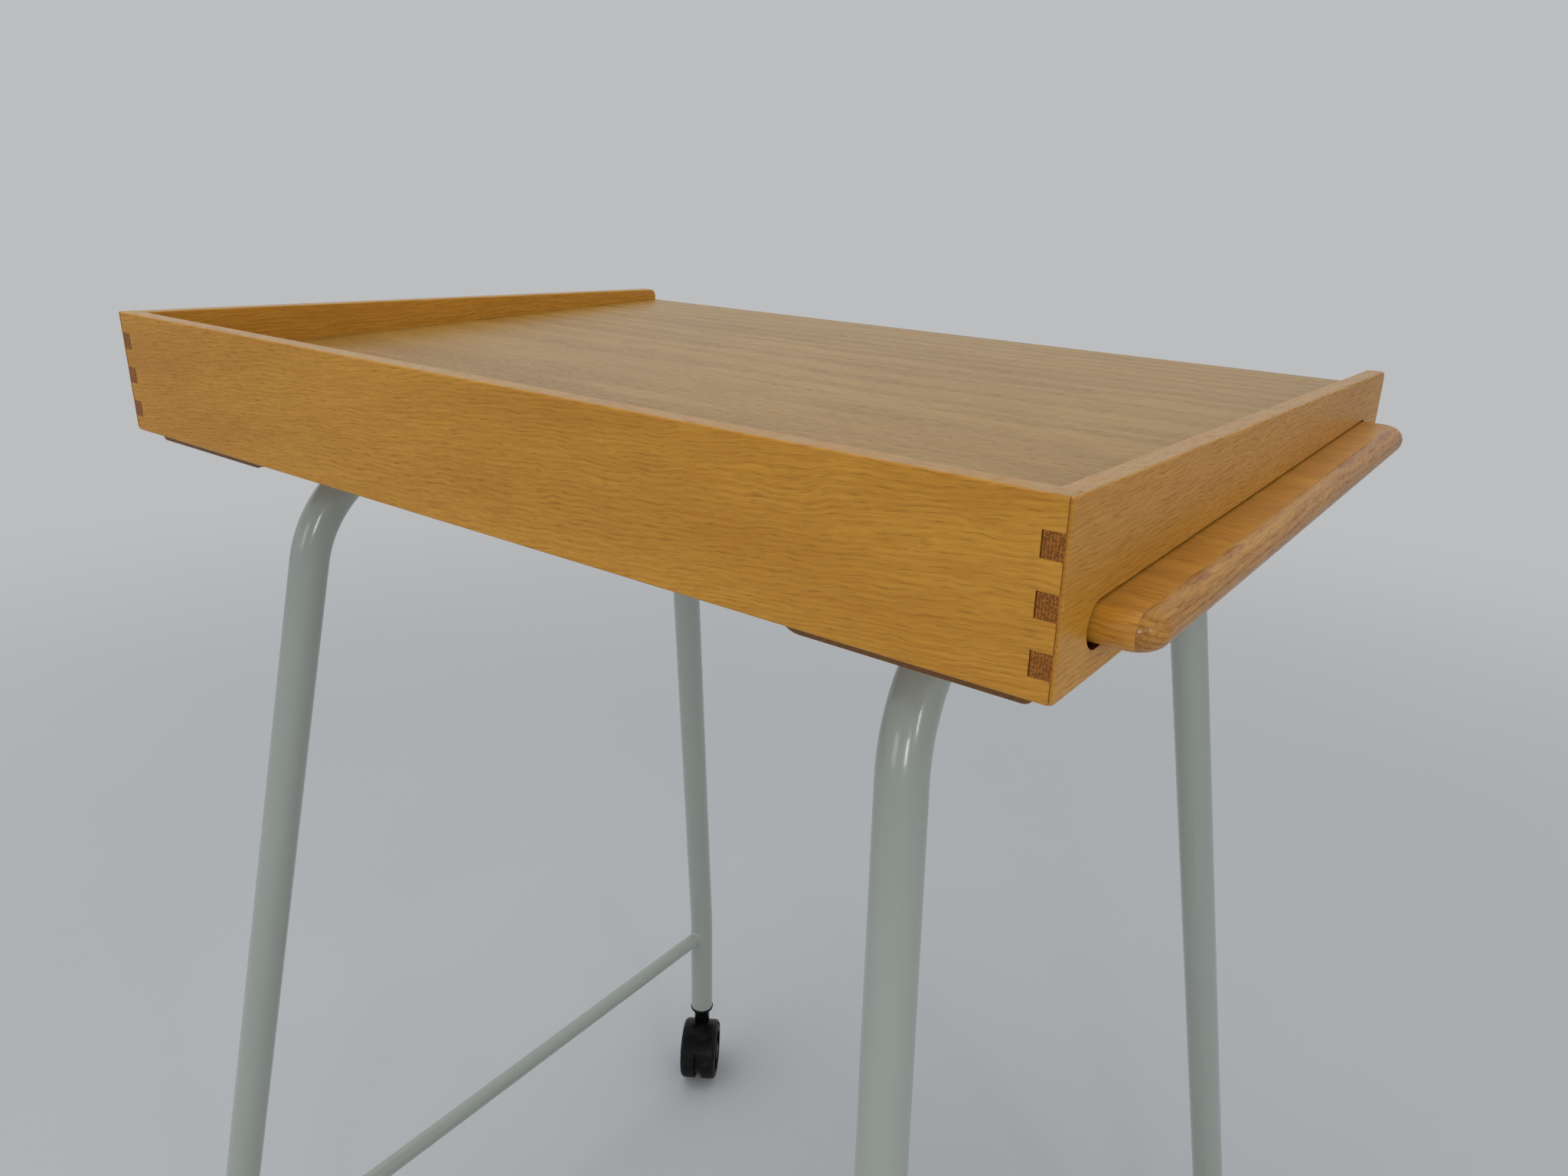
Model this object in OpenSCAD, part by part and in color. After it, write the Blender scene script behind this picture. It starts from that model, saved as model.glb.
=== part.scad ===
// Extending drafting table: an oak tray top with a pull-out board, on two bent tube frames with casters.
// Millimetres. +X is the end where the board pulls out, +Y the open side where the user sits, +Z up.
// The origin is on the floor, at the middle of the table's outer limits.

/* [Tray] */
// Length of the tray over its end panels
tray_len = 640; // [560:5:760]
// Depth of the tray from the rear panel's face to the open edge
tray_depth = 480; // [420:5:560]
// Height of the panels' lower edge above the floor
tray_z = 880; // [700:5:960]
// Height of the rear panel
rear_h = 75; // [68:1:100]
// Height of the end panels at the open side
front_h = 55; // [52:1:66]
// Thickness of the rear and end panels
panel_t = 10; // [9:0.5:14]
// Radius of the end panels' upper corner at the open side
panel_corner_r = 6; // [2:0.5:8]
// Height of the worktop's surface above the panels' lower edge
surface_h = 46; // [44:1:50]
// Thickness of the worktop
worktop_t = 12; // [9:0.5:13]
// Depth of the grooves that hold the worktop in the panels
groove_depth = 4; // [2:0.5:5]
// Thickness of the worktop's tongues in those grooves
tongue_t = 6; // [4:0.5:7]
// Thickness of the rail under the worktop's open edge
front_rail_t = 14; // [10:1:20]

/* [Finger joints] */
// Number of fingers on each end panel
finger_count = 3; // [2:1:3]
// Height of one finger
finger_h = 10; // [8:0.5:14]
// Distance from one finger to the next
finger_pitch = 21.5; // [18:0.5:23]
// Height of the lowest finger above the panel's lower edge
finger_first = 9.25; // [5:0.25:10]
// Thickness of the end panels where they cover the rear panel's ends
finger_skin = 1.2; // [0.5:0.1:3]

/* [Pull-out board] */
// Thickness of the board, whose edges are fully rounded
board_t = 16; // [12:0.5:17]
// How far the board stands out when it is pushed in
board_out = 25; // [15:1:40]
// How far the board pulls out from there
board_travel = 300; // [200:5:320]
// How far the board's tail rests on the left cross board when it is pushed in
tail_rest = 22.5; // [10:0.5:40]
// Width of the runner between the rear panel and the board
rear_runner_w = 15.9; // [10:0.1:40]
// Width of the runner between the front rail and the board
front_runner_w = 21.9; // [10:0.1:40]
// Width of the solid lip across the board's outer end
lip_w = 9; // [6:0.5:14]
// Radius of the board's outer corners in plan
board_corner_r = 14; // [9:0.5:30]
// Room under the board in the right end panel's slot
slot_under = 1.4; // [0.5:0.1:6]
// Distance from the worktop down to the slot's upper edge
slot_drop = 4; // [3:0.5:6]
// Room between the slot's ends and the board's sides
slot_side_gap = 2; // [1:0.5:4]
// Gap between the board and what it slides under and over
slide_gap = 0.4; // [0.3:0.05:0.8]
// Room between the board's sides and the runners
runner_gap = 0.6; // [0.4:0.1:1.5]
// How far each runner reaches over the board
runner_lap = 8; // [4:0.5:12]
// Width of the two stops and of the closing block
stop_w = 20; // [12:1:30]
// Distance from the board's sides to the ends of the two stops that limit the travel
stop_inset = 58.5; // [20:0.5:120]
// Length of the closing block
closing_len = 120; // [60:5:200]
// How far the closing block stays below the board's upper face
closing_drop = 2; // [0:0.5:6]
// Gap left between the board and the stops at each end of its travel
stop_gap = 0.3; // [0.1:0.1:1]

/* [Cross boards] */
// Width of each cross board along the tray
cross_w = 117; // [80:1:140]
// Gap between each cross board and the end panel beside it
cross_gap = 0.5; // [0:0.5:10]
// How far the cross boards stand below the panels
cross_drop = 6.7; // [4:0.1:12]
// Rounding of the cross boards' long lower edges
cross_edge_r = 5; // [1:0.5:8]
// Shank diameter of the cross board screws
board_screw_d = 4; // [3:0.5:5]
// How far the cross board screws reach into the runners
board_screw_bite = 10; // [6:0.5:13]
// Distance from a cross board's long edge to its screws
board_screw_edge = 18; // [12:1:30]

/* [Leg frames] */
// Outer diameter of the leg tube
tube_d = 25; // [22:0.5:30]
// Wall of the leg tube
tube_wall = 1.5; // [1:0.25:2]
// Distance from a cross board's inner edge to the axis of the top bar under it
bar_seat = 31.5; // [18:0.5:60]
// Distance from the tray's long side to where the bar and leg axes meet
corner_inset = 67; // [40:1:100]
// Distance from the tray's end in to the axis of the foot
foot_inset = 22; // [0:1:60]
// Distance from the tray's long side out to the axis of the foot
foot_outset = 48; // [10:1:80]
// Radius of the upper bends at the tube's axis
bend_r = 80; // [50:1:100]
// Height above the floor where the leg turns upright
ankle_z = 208; // [190:1:300]
// Radius of that bend at the tube's axis
ankle_r = 60; // [40:1:90]
// Outer diameter of the stretcher tube
stretcher_d = 15; // [12:0.5:20]
// Wall of the stretcher tube
stretcher_wall = 1.25; // [0.75:0.25:2]
// Room between the ankle bend and the stretcher under it
stretcher_drop = 6; // [2:0.5:40]
// Number of screws through each top bar
frame_screw_count = 3; // [2:1:4]
// Shank diameter of those screws
frame_screw_d = 5; // [4:0.5:6]
// Wood left between the tips of those screws and the cross board's upper face
frame_screw_cover = 5; // [3:0.5:8]
// Distance from the ends of the top bar's straight stretch to the outer screws
frame_screw_edge = 16; // [10:1:40]

/* [Casters] */
// Diameter of the wheels
wheel_d = 64; // [50:1:70]
// Width over both wheels
wheels_w = 41; // [38:1:52]
// Distance from the hood's top up to the leg tube's end
neck_len = 18; // [16:0.5:40]
// Distance from the swivel axis to the axle
trail = 16; // [10:1:20]
// Thickness of the web between the wheels
web_t = 7; // [5:0.5:10]
// Gap between the web and each wheel
web_gap = 0.6; // [0.3:0.1:1.5]
// Height of the web's lower edge above the floor
web_lift = 5; // [3:0.5:15]
// Thickness of the hood's shell
hood_wall = 2.8; // [1.5:0.1:4]
// Gap between the wheel's tread and the hood
hood_gap = 1.2; // [0.6:0.1:2]
// Gap between the wheels' outer faces and the hood's sides
hood_side_gap = 0.4; // [0.3:0.1:1.5]
// Thickness of the hood's sides
hood_side = 2.1; // [1.2:0.1:3]
// Rounding of the wheels' outer edges
wheel_edge_r = 5; // [2:0.5:7]
// How far the hood's sides reach down over the wheels
hood_skirt = 8; // [6:0.5:12]
// Depth of the ring recess in the wheels' outer faces
recess_depth = 3; // [1:0.5:6]
// Width of the face between the recess and the wheel's rounded edge
recess_rim = 3; // [1:0.5:6]
// Where the hood starts, above level on the trailing side
hood_from = 32; // [15:1:50]
// Where the hood ends, over the top and down the other side
hood_to = 190; // [170:1:200]
// Radius of the axle
axle_r = 3; // [2.5:0.25:4]
// Radius of the swivel stem
stem_r = 5; // [4:0.25:5.5]
// Radial clearance of the running fits
running_fit = 0.05; // [0.02:0.01:0.1]
// Radius of the hood's neck
neck_r = 8.8; // [7.5:0.1:10]
// Length of the sleeve inside the leg tube
sleeve_in = 30; // [20:1:45]
// Thickness of the sleeve's rim under the tube's end
rim_t = 2.5; // [1.5:0.25:4]
// How far the rim stands out past the tube
rim_out = 0.7; // [0:0.1:2]
// Height of the sleeve's taper below its rim
taper_h = 7; // [5:0.5:10]
// Rest direction of the front left caster's trail, from +X
front_left_turn = -57; // [-180:1:180]
// Rest direction of the front right caster's trail
front_right_turn = -120; // [-180:1:180]
// Rest direction of the rear left caster's trail
rear_left_turn = 60; // [-180:1:180]
// Rest direction of the rear right caster's trail
rear_right_turn = 123; // [-180:1:180]

/* [Hidden] */
$fn = 64;

// Cuts run this far past the faces that they open
cut = 1;
// Frame angles are rounded to a thousandth of a degree
function neat(angle) = round(angle * 1000) / 1000;
// Wood and finish colours
oak = "#c08a45";
oak_top = "#b99a72";
oak_end = "#7d4b22";
enamel = "#a9b0a8";
zinc = "#b9bcbf";
black = "#1b1c1e";

// Tray limits, from its own middle
half_len = tray_len / 2;
half_depth = tray_depth / 2;
inner_x = half_len - panel_t;
inner_rear = -half_depth + panel_t;
worktop_bottom = surface_h - worktop_t;
tongue_bottom = worktop_bottom + (worktop_t - tongue_t) / 2;
tongue_top = tongue_bottom + tongue_t;
taper_angle = atan2(rear_h - front_h, tray_depth);
rail_inner = half_depth - front_rail_t;

// Cross boards along the tray
cross_outer = inner_x - cross_gap;
cross_inner = cross_outer - cross_w;
cross_bottom = -cross_drop;

// Pull-out board and what guides it, above the panels' lower edge
slot_top = worktop_bottom - slot_drop;
board_top = slot_top - slide_gap;
board_bottom = board_top - board_t;
slot_bottom = board_bottom - slot_under;
cross_top = board_bottom - slide_gap;
board_rear = inner_rear + rear_runner_w + runner_gap;
board_front = rail_inner - front_runner_w - runner_gap;
board_w = board_front - board_rear;
board_y = (board_rear + board_front) / 2;
board_nose = half_len + board_out;
board_tail = -cross_inner - tail_rest;
board_len = board_nose - board_tail;
runner_rabbet = board_top + slide_gap;
stop_t = worktop_bottom - board_top - slide_gap;
stop_len = board_w - 2 * stop_inset;
closing_h = board_t - closing_drop;

// Cross board screws
screw_clear = 0.1;
board_screw_head_r = board_screw_d;
board_screw_len = cross_top - cross_bottom + board_screw_bite;
rear_screw_y = (inner_rear + board_rear - runner_gap) / 2;
front_screw_y = (rail_inner + board_front + runner_gap) / 2;

// Caster, from the middle of its axle, with the stem at -trail
wheel_r = wheel_d / 2;
hood_in = wheel_r + hood_gap;
hood_r = hood_in + hood_wall;
hood_in_half = wheels_w / 2 + hood_side_gap;
hood_half = hood_in_half + hood_side;
hood_edge_r = wheel_edge_r + hood_wall;
hood_top = wheel_r + hood_r;
wheel_from = web_t / 2 + web_gap;
wheel_w = wheels_w / 2 - wheel_from;
wheel_skin = 3.5;
axle_end_gap = 0.5;
axle_half = wheels_w / 2 - wheel_skin - axle_end_gap;
hub_r = 3 * axle_r;
hub_rim = 1;
caster_h = hood_top + neck_len;
rim_bottom = caster_h - rim_t;
taper_bottom = rim_bottom - taper_h;
neck_gap = 0.3;
neck_top = taper_bottom - neck_gap;
stem_seat = 3;
stem_bottom = hood_top - stem_seat;
sleeve_top = caster_h + sleeve_in;
sleeve_fit = 0.05;
clip_t = 1.2;
clip_gap = 0.4;
clip_rim = 2.5;
stem_tip = 2;

// Leg frame axes
tube_r = tube_d / 2;
tube_bore_r = tube_r - tube_wall;
bar_x = cross_inner + bar_seat;
bar_z = tray_z - cross_drop - tube_r;
corner_y = half_depth - corner_inset;
foot_x = half_len - foot_inset;
foot_y = half_depth + foot_outset;
leg_top = [bar_x, corner_y, bar_z];
leg_ankle = [foot_x, foot_y, ankle_z];
leg_run = leg_ankle - leg_top;
leg_dir = leg_run / norm(leg_run);
frame_tilt = neat(atan2(leg_run.x, -leg_run.z));
leg_lean = neat(acos(-leg_dir.z));
bend_angle = neat(acos(leg_dir.y));
ankle_turn = neat(atan2(cos(frame_tilt) * cos(bend_angle), -sin(frame_tilt)));
bend_tangent = bend_r * tan(bend_angle / 2);
ankle_tangent = ankle_r * tan(leg_lean / 2);
bar_half = corner_y - bend_tangent;
leg_len = norm(leg_run) - bend_tangent - ankle_tangent;
foot_len = ankle_z - ankle_tangent - caster_h;
stretcher_z = ankle_z - ankle_tangent - stretcher_drop - stretcher_d / 2;
// Straight stretches run this far into the bends, which are this much fatter
seam_lap = 1;
seam_step = 0.05;
frame_screw_head_r = frame_screw_d;
frame_screw_head_h = 0.7 * frame_screw_d;
frame_screw_len = tube_d + cross_top - cross_bottom - frame_screw_cover;
frame_screw_pitch = 2 * (bar_half - frame_screw_edge) / (frame_screw_count - 1);

// Outward reach along X of a left caster's hood, whose closed side faces away from the trail
function hood_reach(turn) = foot_x - trail * cos(turn) + hood_edge_r
    + (hood_r - hood_edge_r) * abs(cos(turn)) + (hood_half - hood_edge_r) * abs(sin(turn));

// The table's outer limits along X set where the tray's middle lies, to a tenth of a millimetre
reach_left = max(half_len, hood_reach(front_left_turn), hood_reach(rear_left_turn));
tray_x = round(5 * (reach_left - board_nose)) / 10;

// Moves children from the tray's own frame to the table's
module in_tray() {
    translate([tray_x, 0, tray_z]) children();
}

// Box between two opposite corners
module box(low, high) {
    translate(low) cube(high - low);
}

// Worktop, with tongues along three sides that sit in the panels' grooves
module worktop() {
    color(oak_top) in_tray() {
        box([-inner_x, inner_rear, worktop_bottom], [inner_x, half_depth, surface_h]);
        box([-inner_x, inner_rear - groove_depth, tongue_bottom], [inner_x, half_depth, tongue_top]);
        box([-inner_x - groove_depth, inner_rear, tongue_bottom],
            [inner_x + groove_depth, rail_inner, tongue_top]);
    }
}

// Lower and upper edge of one finger of the end panels
function finger_from(i) = finger_first + i * finger_pitch;
function finger_to(i) = finger_from(i) + finger_h;

// Rear panel, with a pin between each two fingers of the end panels and the groove for the worktop
module rear_panel() {
    pin_end = half_len - finger_skin;
    color(oak) in_tray() difference() {
        box([-pin_end, -half_depth, 0], [pin_end, inner_rear, rear_h]);
        for (side = [0, 1], i = [0 : finger_count - 1])
            mirror([side, 0, 0])
                box([inner_x, -half_depth - cut, finger_from(i)], [pin_end + cut, inner_rear + cut, finger_to(i)]);
        box([-inner_x, inner_rear - groove_depth, tongue_bottom], [inner_x, inner_rear + cut, tongue_top]);
    }
}

// Side view of an end panel: the top edge falls to the open side and ends in a round corner
module end_outline() {
    arc_y = half_depth - panel_corner_r;
    arc_z = front_h + panel_corner_r * tan(taper_angle) - panel_corner_r / cos(taper_angle);
    difference() {
        polygon([[-half_depth, 0], [half_depth, 0], [half_depth, front_h], [-half_depth, rear_h]]);
        difference() {
            translate([arc_y, arc_z]) square(2 * panel_corner_r);
            translate([arc_y, arc_z]) circle(panel_corner_r);
        }
    }
}

// End panel on the +X side, with sockets for the rear panel's pins and the groove for the worktop
module end_panel_blank() {
    difference() {
        translate([inner_x, 0, 0]) rotate([90, 0, 90]) linear_extrude(panel_t) end_outline();
        for (i = [0 : finger_count]) {
            socket_from = i > 0 ? finger_to(i - 1) : -cut;
            socket_to = i < finger_count ? finger_from(i) : rear_h + cut;
            box([inner_x - cut, -half_depth - cut, socket_from],
                [half_len - finger_skin, inner_rear, socket_to]);
        }
        box([inner_x - cut, inner_rear, tongue_bottom], [inner_x + groove_depth, rail_inner, tongue_top]);
    }
}

module left_end_panel() {
    color(oak) in_tray() mirror([1, 0, 0]) end_panel_blank();
}

// Right end panel, with the round-ended slot that the board slides through
module right_end_panel() {
    slot_r = (slot_top - slot_bottom) / 2;
    slot_rear = board_rear - slot_side_gap + slot_r;
    slot_front = board_front + slot_side_gap - slot_r;
    color(oak) in_tray() difference() {
        end_panel_blank();
        box([inner_x - cut, slot_rear, slot_bottom], [half_len + cut, slot_front, slot_top]);
        for (y = [slot_rear, slot_front])
            translate([inner_x - cut, y, slot_top - slot_r]) rotate([0, 90, 0]) cylinder(h = panel_t + 2 * cut, r = slot_r);
    }
}

// Rail that closes the tray below the worktop's open edge
module front_rail() {
    color(oak) in_tray() box([-inner_x, rail_inner, 0], [inner_x, half_depth, worktop_bottom]);
}

// Places of the frame screws along the top bar
function frame_screw_y(i) = (i - (frame_screw_count - 1) / 2) * frame_screw_pitch;

// End view of the cross board on the +X side, with its lower corners rounded
module cross_outline() {
    translate([cross_inner, cross_bottom + cross_edge_r])
        square([cross_w, cross_top - cross_bottom - cross_edge_r]);
    translate([cross_inner + cross_edge_r, cross_bottom]) square([cross_w - 2 * cross_edge_r, 2 * cross_edge_r]);
    for (x = [cross_inner + cross_edge_r, cross_outer - cross_edge_r])
        translate([x, cross_bottom + cross_edge_r]) circle(cross_edge_r);
}

// Cross board on the +X side, with holes for both kinds of screw
module cross_board() {
    difference() {
        translate([0, rail_inner, 0]) rotate([90, 0, 0]) linear_extrude(rail_inner - inner_rear) cross_outline();
        for (x = [cross_inner + board_screw_edge, cross_outer - board_screw_edge], y = [rear_screw_y, front_screw_y])
            translate([x, y, cross_bottom]) board_screw(screw_clear, cut);
        for (i = [0 : frame_screw_count - 1])
            translate([bar_x, frame_screw_y(i), cross_bottom - cut])
                cylinder(h = frame_screw_len - tube_d + screw_clear + cut, d = frame_screw_d + 2 * screw_clear);
    }
}

// Countersunk screw, point up, with its head level with z = 0
module board_screw(grow = 0, below = 0) {
    shank_r = board_screw_d / 2 + grow;
    head_r = board_screw_head_r + grow;
    cylinder(h = board_screw_len + grow, r = shank_r);
    cylinder(h = head_r - shank_r, r1 = head_r, r2 = shank_r);
    if (below > 0)
        translate([0, 0, -below]) cylinder(h = below, r = head_r);
}

module left_cross_board() {
    color(oak) in_tray() mirror([1, 0, 0]) cross_board();
}

module right_cross_board() {
    color(oak) in_tray() cross_board();
}

module cross_board_screws() {
    color(zinc) in_tray()
        for (side = [-1, 1], x = [cross_inner + board_screw_edge, cross_outer - board_screw_edge],
             y = [rear_screw_y, front_screw_y])
            translate([side * x, y, cross_bottom]) board_screw();
}

// Runner: fills the space beside the board and laps over its side
module runner(wall_y, board_y, toward) {
    low_y = min(wall_y, board_y + toward * runner_lap);
    high_y = max(wall_y, board_y + toward * runner_lap);
    gap_y = board_y - toward * runner_gap;
    lap_y = board_y + toward * (runner_lap + cut);
    difference() {
        box([-inner_x, low_y, cross_top], [inner_x, high_y, worktop_bottom]);
        box([-inner_x - cut, min(gap_y, lap_y), cross_top - cut],
            [inner_x + cut, max(gap_y, lap_y), runner_rabbet]);
        for (side = [-1, 1], x = [cross_inner + board_screw_edge, cross_outer - board_screw_edge],
             y = [rear_screw_y, front_screw_y])
            translate([side * x, y, cross_bottom]) board_screw(screw_clear);
    }
}

module rear_runner() {
    color(oak) in_tray() runner(inner_rear, board_rear, 1);
}

module front_runner() {
    color(oak) in_tray() runner(rail_inner, board_front, -1);
}

// Stop under the worktop, which the board's tail stop meets at the end of the travel
module travel_stop() {
    stop_x = board_tail + stop_w + board_travel + stop_gap;
    color(oak_end) in_tray()
        box([stop_x, board_y - stop_len / 2, worktop_bottom - stop_t],
            [stop_x + stop_w, board_y + stop_len / 2, worktop_bottom]);
}

// Block on the left cross board, which the board's tail meets when it is pushed in
module closing_stop() {
    block_x = board_tail - stop_gap;
    color(oak_end) in_tray()
        box([block_x - stop_w, board_y - closing_len / 2, cross_top],
            [block_x, board_y + closing_len / 2, cross_top + closing_h]);
}

// Board with fully rounded sides and outer end, lying on z = 0, its outer end at x = 0
module board_blank() {
    edge_r = board_t / 2;
    flat_r = board_corner_r - edge_r;
    half_w = board_w / 2;
    translate([-board_len, -half_w + edge_r, 0]) cube([board_len - board_corner_r, board_w - board_t, board_t]);
    translate([-board_corner_r - cut, -half_w + board_corner_r, 0])
        cube([board_corner_r + cut - edge_r, board_w - 2 * board_corner_r, board_t]);
    for (y = [-half_w + edge_r, half_w - edge_r])
        translate([-board_len, y, edge_r]) rotate([0, 90, 0]) cylinder(h = board_len - board_corner_r, r = edge_r);
    translate([-edge_r, -half_w + board_corner_r, edge_r])
        rotate([-90, 0, 0]) cylinder(h = board_w - 2 * board_corner_r, r = edge_r);
    for (side = [0, 1])
        mirror([0, side, 0])
            translate([-board_corner_r, half_w - board_corner_r, edge_r])
                rotate_extrude(angle = 90) {
                    translate([0, -edge_r]) square([flat_r, board_t]);
                    intersection() {
                        translate([flat_r, 0]) circle(edge_r);
                        translate([flat_r, -edge_r]) square([edge_r, board_t]);
                    }
                }
}

// Moves children from the board's own frame to the table's
module in_board() {
    translate([tray_x + board_nose, board_y, tray_z + board_bottom]) children();
}

module pullout_panel() {
    color(oak) in_board() difference() {
        board_blank();
        translate([-lip_w, -board_w / 2 - cut, -cut]) cube([lip_w + cut, board_w + 2 * cut, board_t + 2 * cut]);
    }
}

module pullout_lip() {
    color(oak_top) in_board() intersection() {
        board_blank();
        translate([-lip_w, -board_w / 2 - cut, -cut]) cube([lip_w + cut, board_w + 2 * cut, board_t + 2 * cut]);
    }
}

module tail_stop() {
    color(oak_end) in_board()
        translate([-board_len, -stop_len / 2, board_t]) cube([stop_w, stop_len, stop_t]);
}

// Round rod along +Y between two distances
module rod(from, to, r) {
    translate([0, from, 0]) rotate([-90, 0, 0]) cylinder(h = to - from, r = r);
}

// Half the top bar, the bend, the leg, the ankle and the foot as one solid of radius r.
// Each stretch lies in a frame that starts where the last one ends and heads along +Y.
module half_path(r, past_foot) {
    rod(0, bar_half + seam_lap, r);
    translate([0, bar_half, -bend_r]) {
        rotate([0, -90, 0]) rotate_extrude(angle = bend_angle) translate([bend_r, 0]) circle(r + seam_step);
        rotate([-bend_angle, 0, 0]) translate([0, 0, bend_r]) {
            rod(-seam_lap, leg_len + seam_lap, r);
            translate([0, leg_len, 0]) rotate([0, ankle_turn, 0]) translate([ankle_r, 0, 0]) {
                rotate([0, 180, 0])
                    rotate_extrude(angle = leg_lean) translate([ankle_r, 0]) circle(r + seam_step);
                rotate([0, 0, -leg_lean]) translate([-ankle_r, 0, 0]) rod(-seam_lap, foot_len + past_foot, r);
            }
        }
    }
}

// Both halves of the frame on the +X side
module frame_path(r, past_foot = 0) {
    translate([bar_x, 0, bar_z]) rotate([0, -frame_tilt, 0])
        for (side = [0, 1])
            mirror([0, side, 0]) half_path(r, past_foot);
}

// Bent tube frame on the +X side, drilled for its screws
module leg_frame() {
    difference() {
        frame_path(tube_r);
        frame_path(tube_bore_r, cut);
        for (i = [0 : frame_screw_count - 1])
            translate([bar_x, frame_screw_y(i), bar_z - tube_r - cut])
                cylinder(h = tube_d + 2 * cut, d = frame_screw_d + 2 * screw_clear);
    }
}

module left_leg_frame() {
    color(enamel) translate([tray_x, 0, 0]) mirror([1, 0, 0]) leg_frame();
}

module right_leg_frame() {
    color(enamel) translate([tray_x, 0, 0]) leg_frame();
}

// Stretcher between the legs of one frame, with its ends shaped to their tubes
module stretcher() {
    difference() {
        translate([foot_x, -foot_y, stretcher_z]) rotate([-90, 0, 0]) difference() {
            cylinder(h = 2 * foot_y, d = stretcher_d);
            translate([0, 0, -cut]) cylinder(h = 2 * (foot_y + cut), d = stretcher_d - 2 * stretcher_wall);
        }
        for (y = [-foot_y, foot_y])
            translate([foot_x, y, stretcher_z - stretcher_d]) cylinder(h = 2 * stretcher_d, r = tube_r);
    }
}

module left_stretcher() {
    color(enamel) translate([tray_x, 0, 0]) mirror([1, 0, 0]) stretcher();
}

module right_stretcher() {
    color(enamel) translate([tray_x, 0, 0]) stretcher();
}

// Round-headed screws up through the top bar into the cross board
module frame_screws(side) {
    color(zinc) translate([tray_x, 0, 0])
        for (i = [0 : frame_screw_count - 1])
            translate([side * bar_x, frame_screw_y(i), bar_z - tube_r]) {
                cylinder(h = frame_screw_len, d = frame_screw_d);
                translate([0, 0, -frame_screw_head_h]) cylinder(h = frame_screw_head_h, r = frame_screw_head_r);
            }
}

module left_frame_screws() {
    frame_screws(-1);
}

module right_frame_screws() {
    frame_screws(1);
}

// Caster places: side along X, side along Y and the rest direction of the trail
rear_left = [-1, -1, rear_left_turn];
rear_right = [1, -1, rear_right_turn];
front_left = [-1, 1, front_left_turn];
front_right = [1, 1, front_right_turn];

// Moves children to one foot, with the swivel axis at x = y = 0 and the trail along +X
module at_foot(place) {
    translate([tray_x + place.x * foot_x, place.y * foot_y, 0]) rotate([0, 0, place.z]) children();
}

// Moves children to the axle's middle
module at_axle(place) {
    at_foot(place) translate([trail, 0, wheel_r]) children();
}

// Half-plane band from r_from to r_to, of half width half_w, with its outer corners rounded
module band(r_from, r_to, half_w, edge_r) {
    translate([r_from, -half_w]) square([r_to - edge_r - r_from, 2 * half_w]);
    translate([r_from, -half_w + edge_r]) square([r_to - r_from, 2 * (half_w - edge_r)]);
    for (side = [-1, 1])
        translate([r_to - edge_r, side * (half_w - edge_r)]) circle(edge_r);
}

// Plastic sleeve in the leg tube: a bored plug, a rim under the tube's end and a taper to the neck
module caster_sleeve(place) {
    color(black) at_foot(place) difference() {
        union() {
            translate([0, 0, caster_h]) cylinder(h = sleeve_in, r = tube_bore_r - sleeve_fit);
            translate([0, 0, rim_bottom]) cylinder(h = rim_t, r = tube_r + rim_out);
            translate([0, 0, taper_bottom]) cylinder(h = taper_h, r1 = neck_r, r2 = tube_r + rim_out);
        }
        translate([0, 0, taper_bottom - cut])
            cylinder(h = sleeve_top - taper_bottom + 2 * cut, r = stem_r + running_fit);
    }
}

// Steel stem and the clip that holds it up in the sleeve
module caster_stem(place) {
    clip_z = sleeve_top + clip_gap;
    color(zinc) at_foot(place) {
        translate([0, 0, stem_bottom]) cylinder(h = clip_z + clip_t + stem_tip - stem_bottom, r = stem_r);
        translate([0, 0, clip_z]) cylinder(h = clip_t, r = stem_r + clip_rim);
    }
}

// Turns a half-plane shape round the axle, from one angle to another above the trail's side
module round_axle(from, to) {
    rotate([90, 0, 0]) rotate([0, 0, from]) rotate_extrude(angle = to - from) children();
}

// Hood over both wheels, with the web that holds the axle and the neck that takes the stem
module caster_hood(place) {
    color(black) difference() {
        union() {
            at_axle(place) {
                round_axle(hood_from, hood_to) difference() {
                    band(hood_r - hood_skirt, hood_r, hood_half, hood_edge_r);
                    band(0, hood_in, hood_in_half, wheel_edge_r);
                }
                round_axle(hood_from, hood_to) translate([0, -web_t / 2]) square([hood_in + cut, web_t]);
                rotate([90, 0, 0]) translate([0, 0, -web_t / 2]) cylinder(h = web_t, r = wheel_r - web_lift);
            }
            difference() {
                at_foot(place) translate([0, 0, wheel_r]) cylinder(h = neck_top - wheel_r, r = neck_r);
                at_axle(place) rotate([90, 0, 0]) cylinder(h = 4 * neck_r, r = hood_in, center = true);
            }
        }
        at_axle(place) rotate([90, 0, 0]) cylinder(h = web_t + 2 * cut, r = axle_r, center = true);
        at_foot(place) translate([0, 0, stem_bottom]) cylinder(h = neck_top, r = stem_r);
    }
}

module caster_axle(place) {
    color(zinc) at_axle(place) rotate([90, 0, 0]) cylinder(h = 2 * axle_half, r = axle_r, center = true);
}

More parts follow.
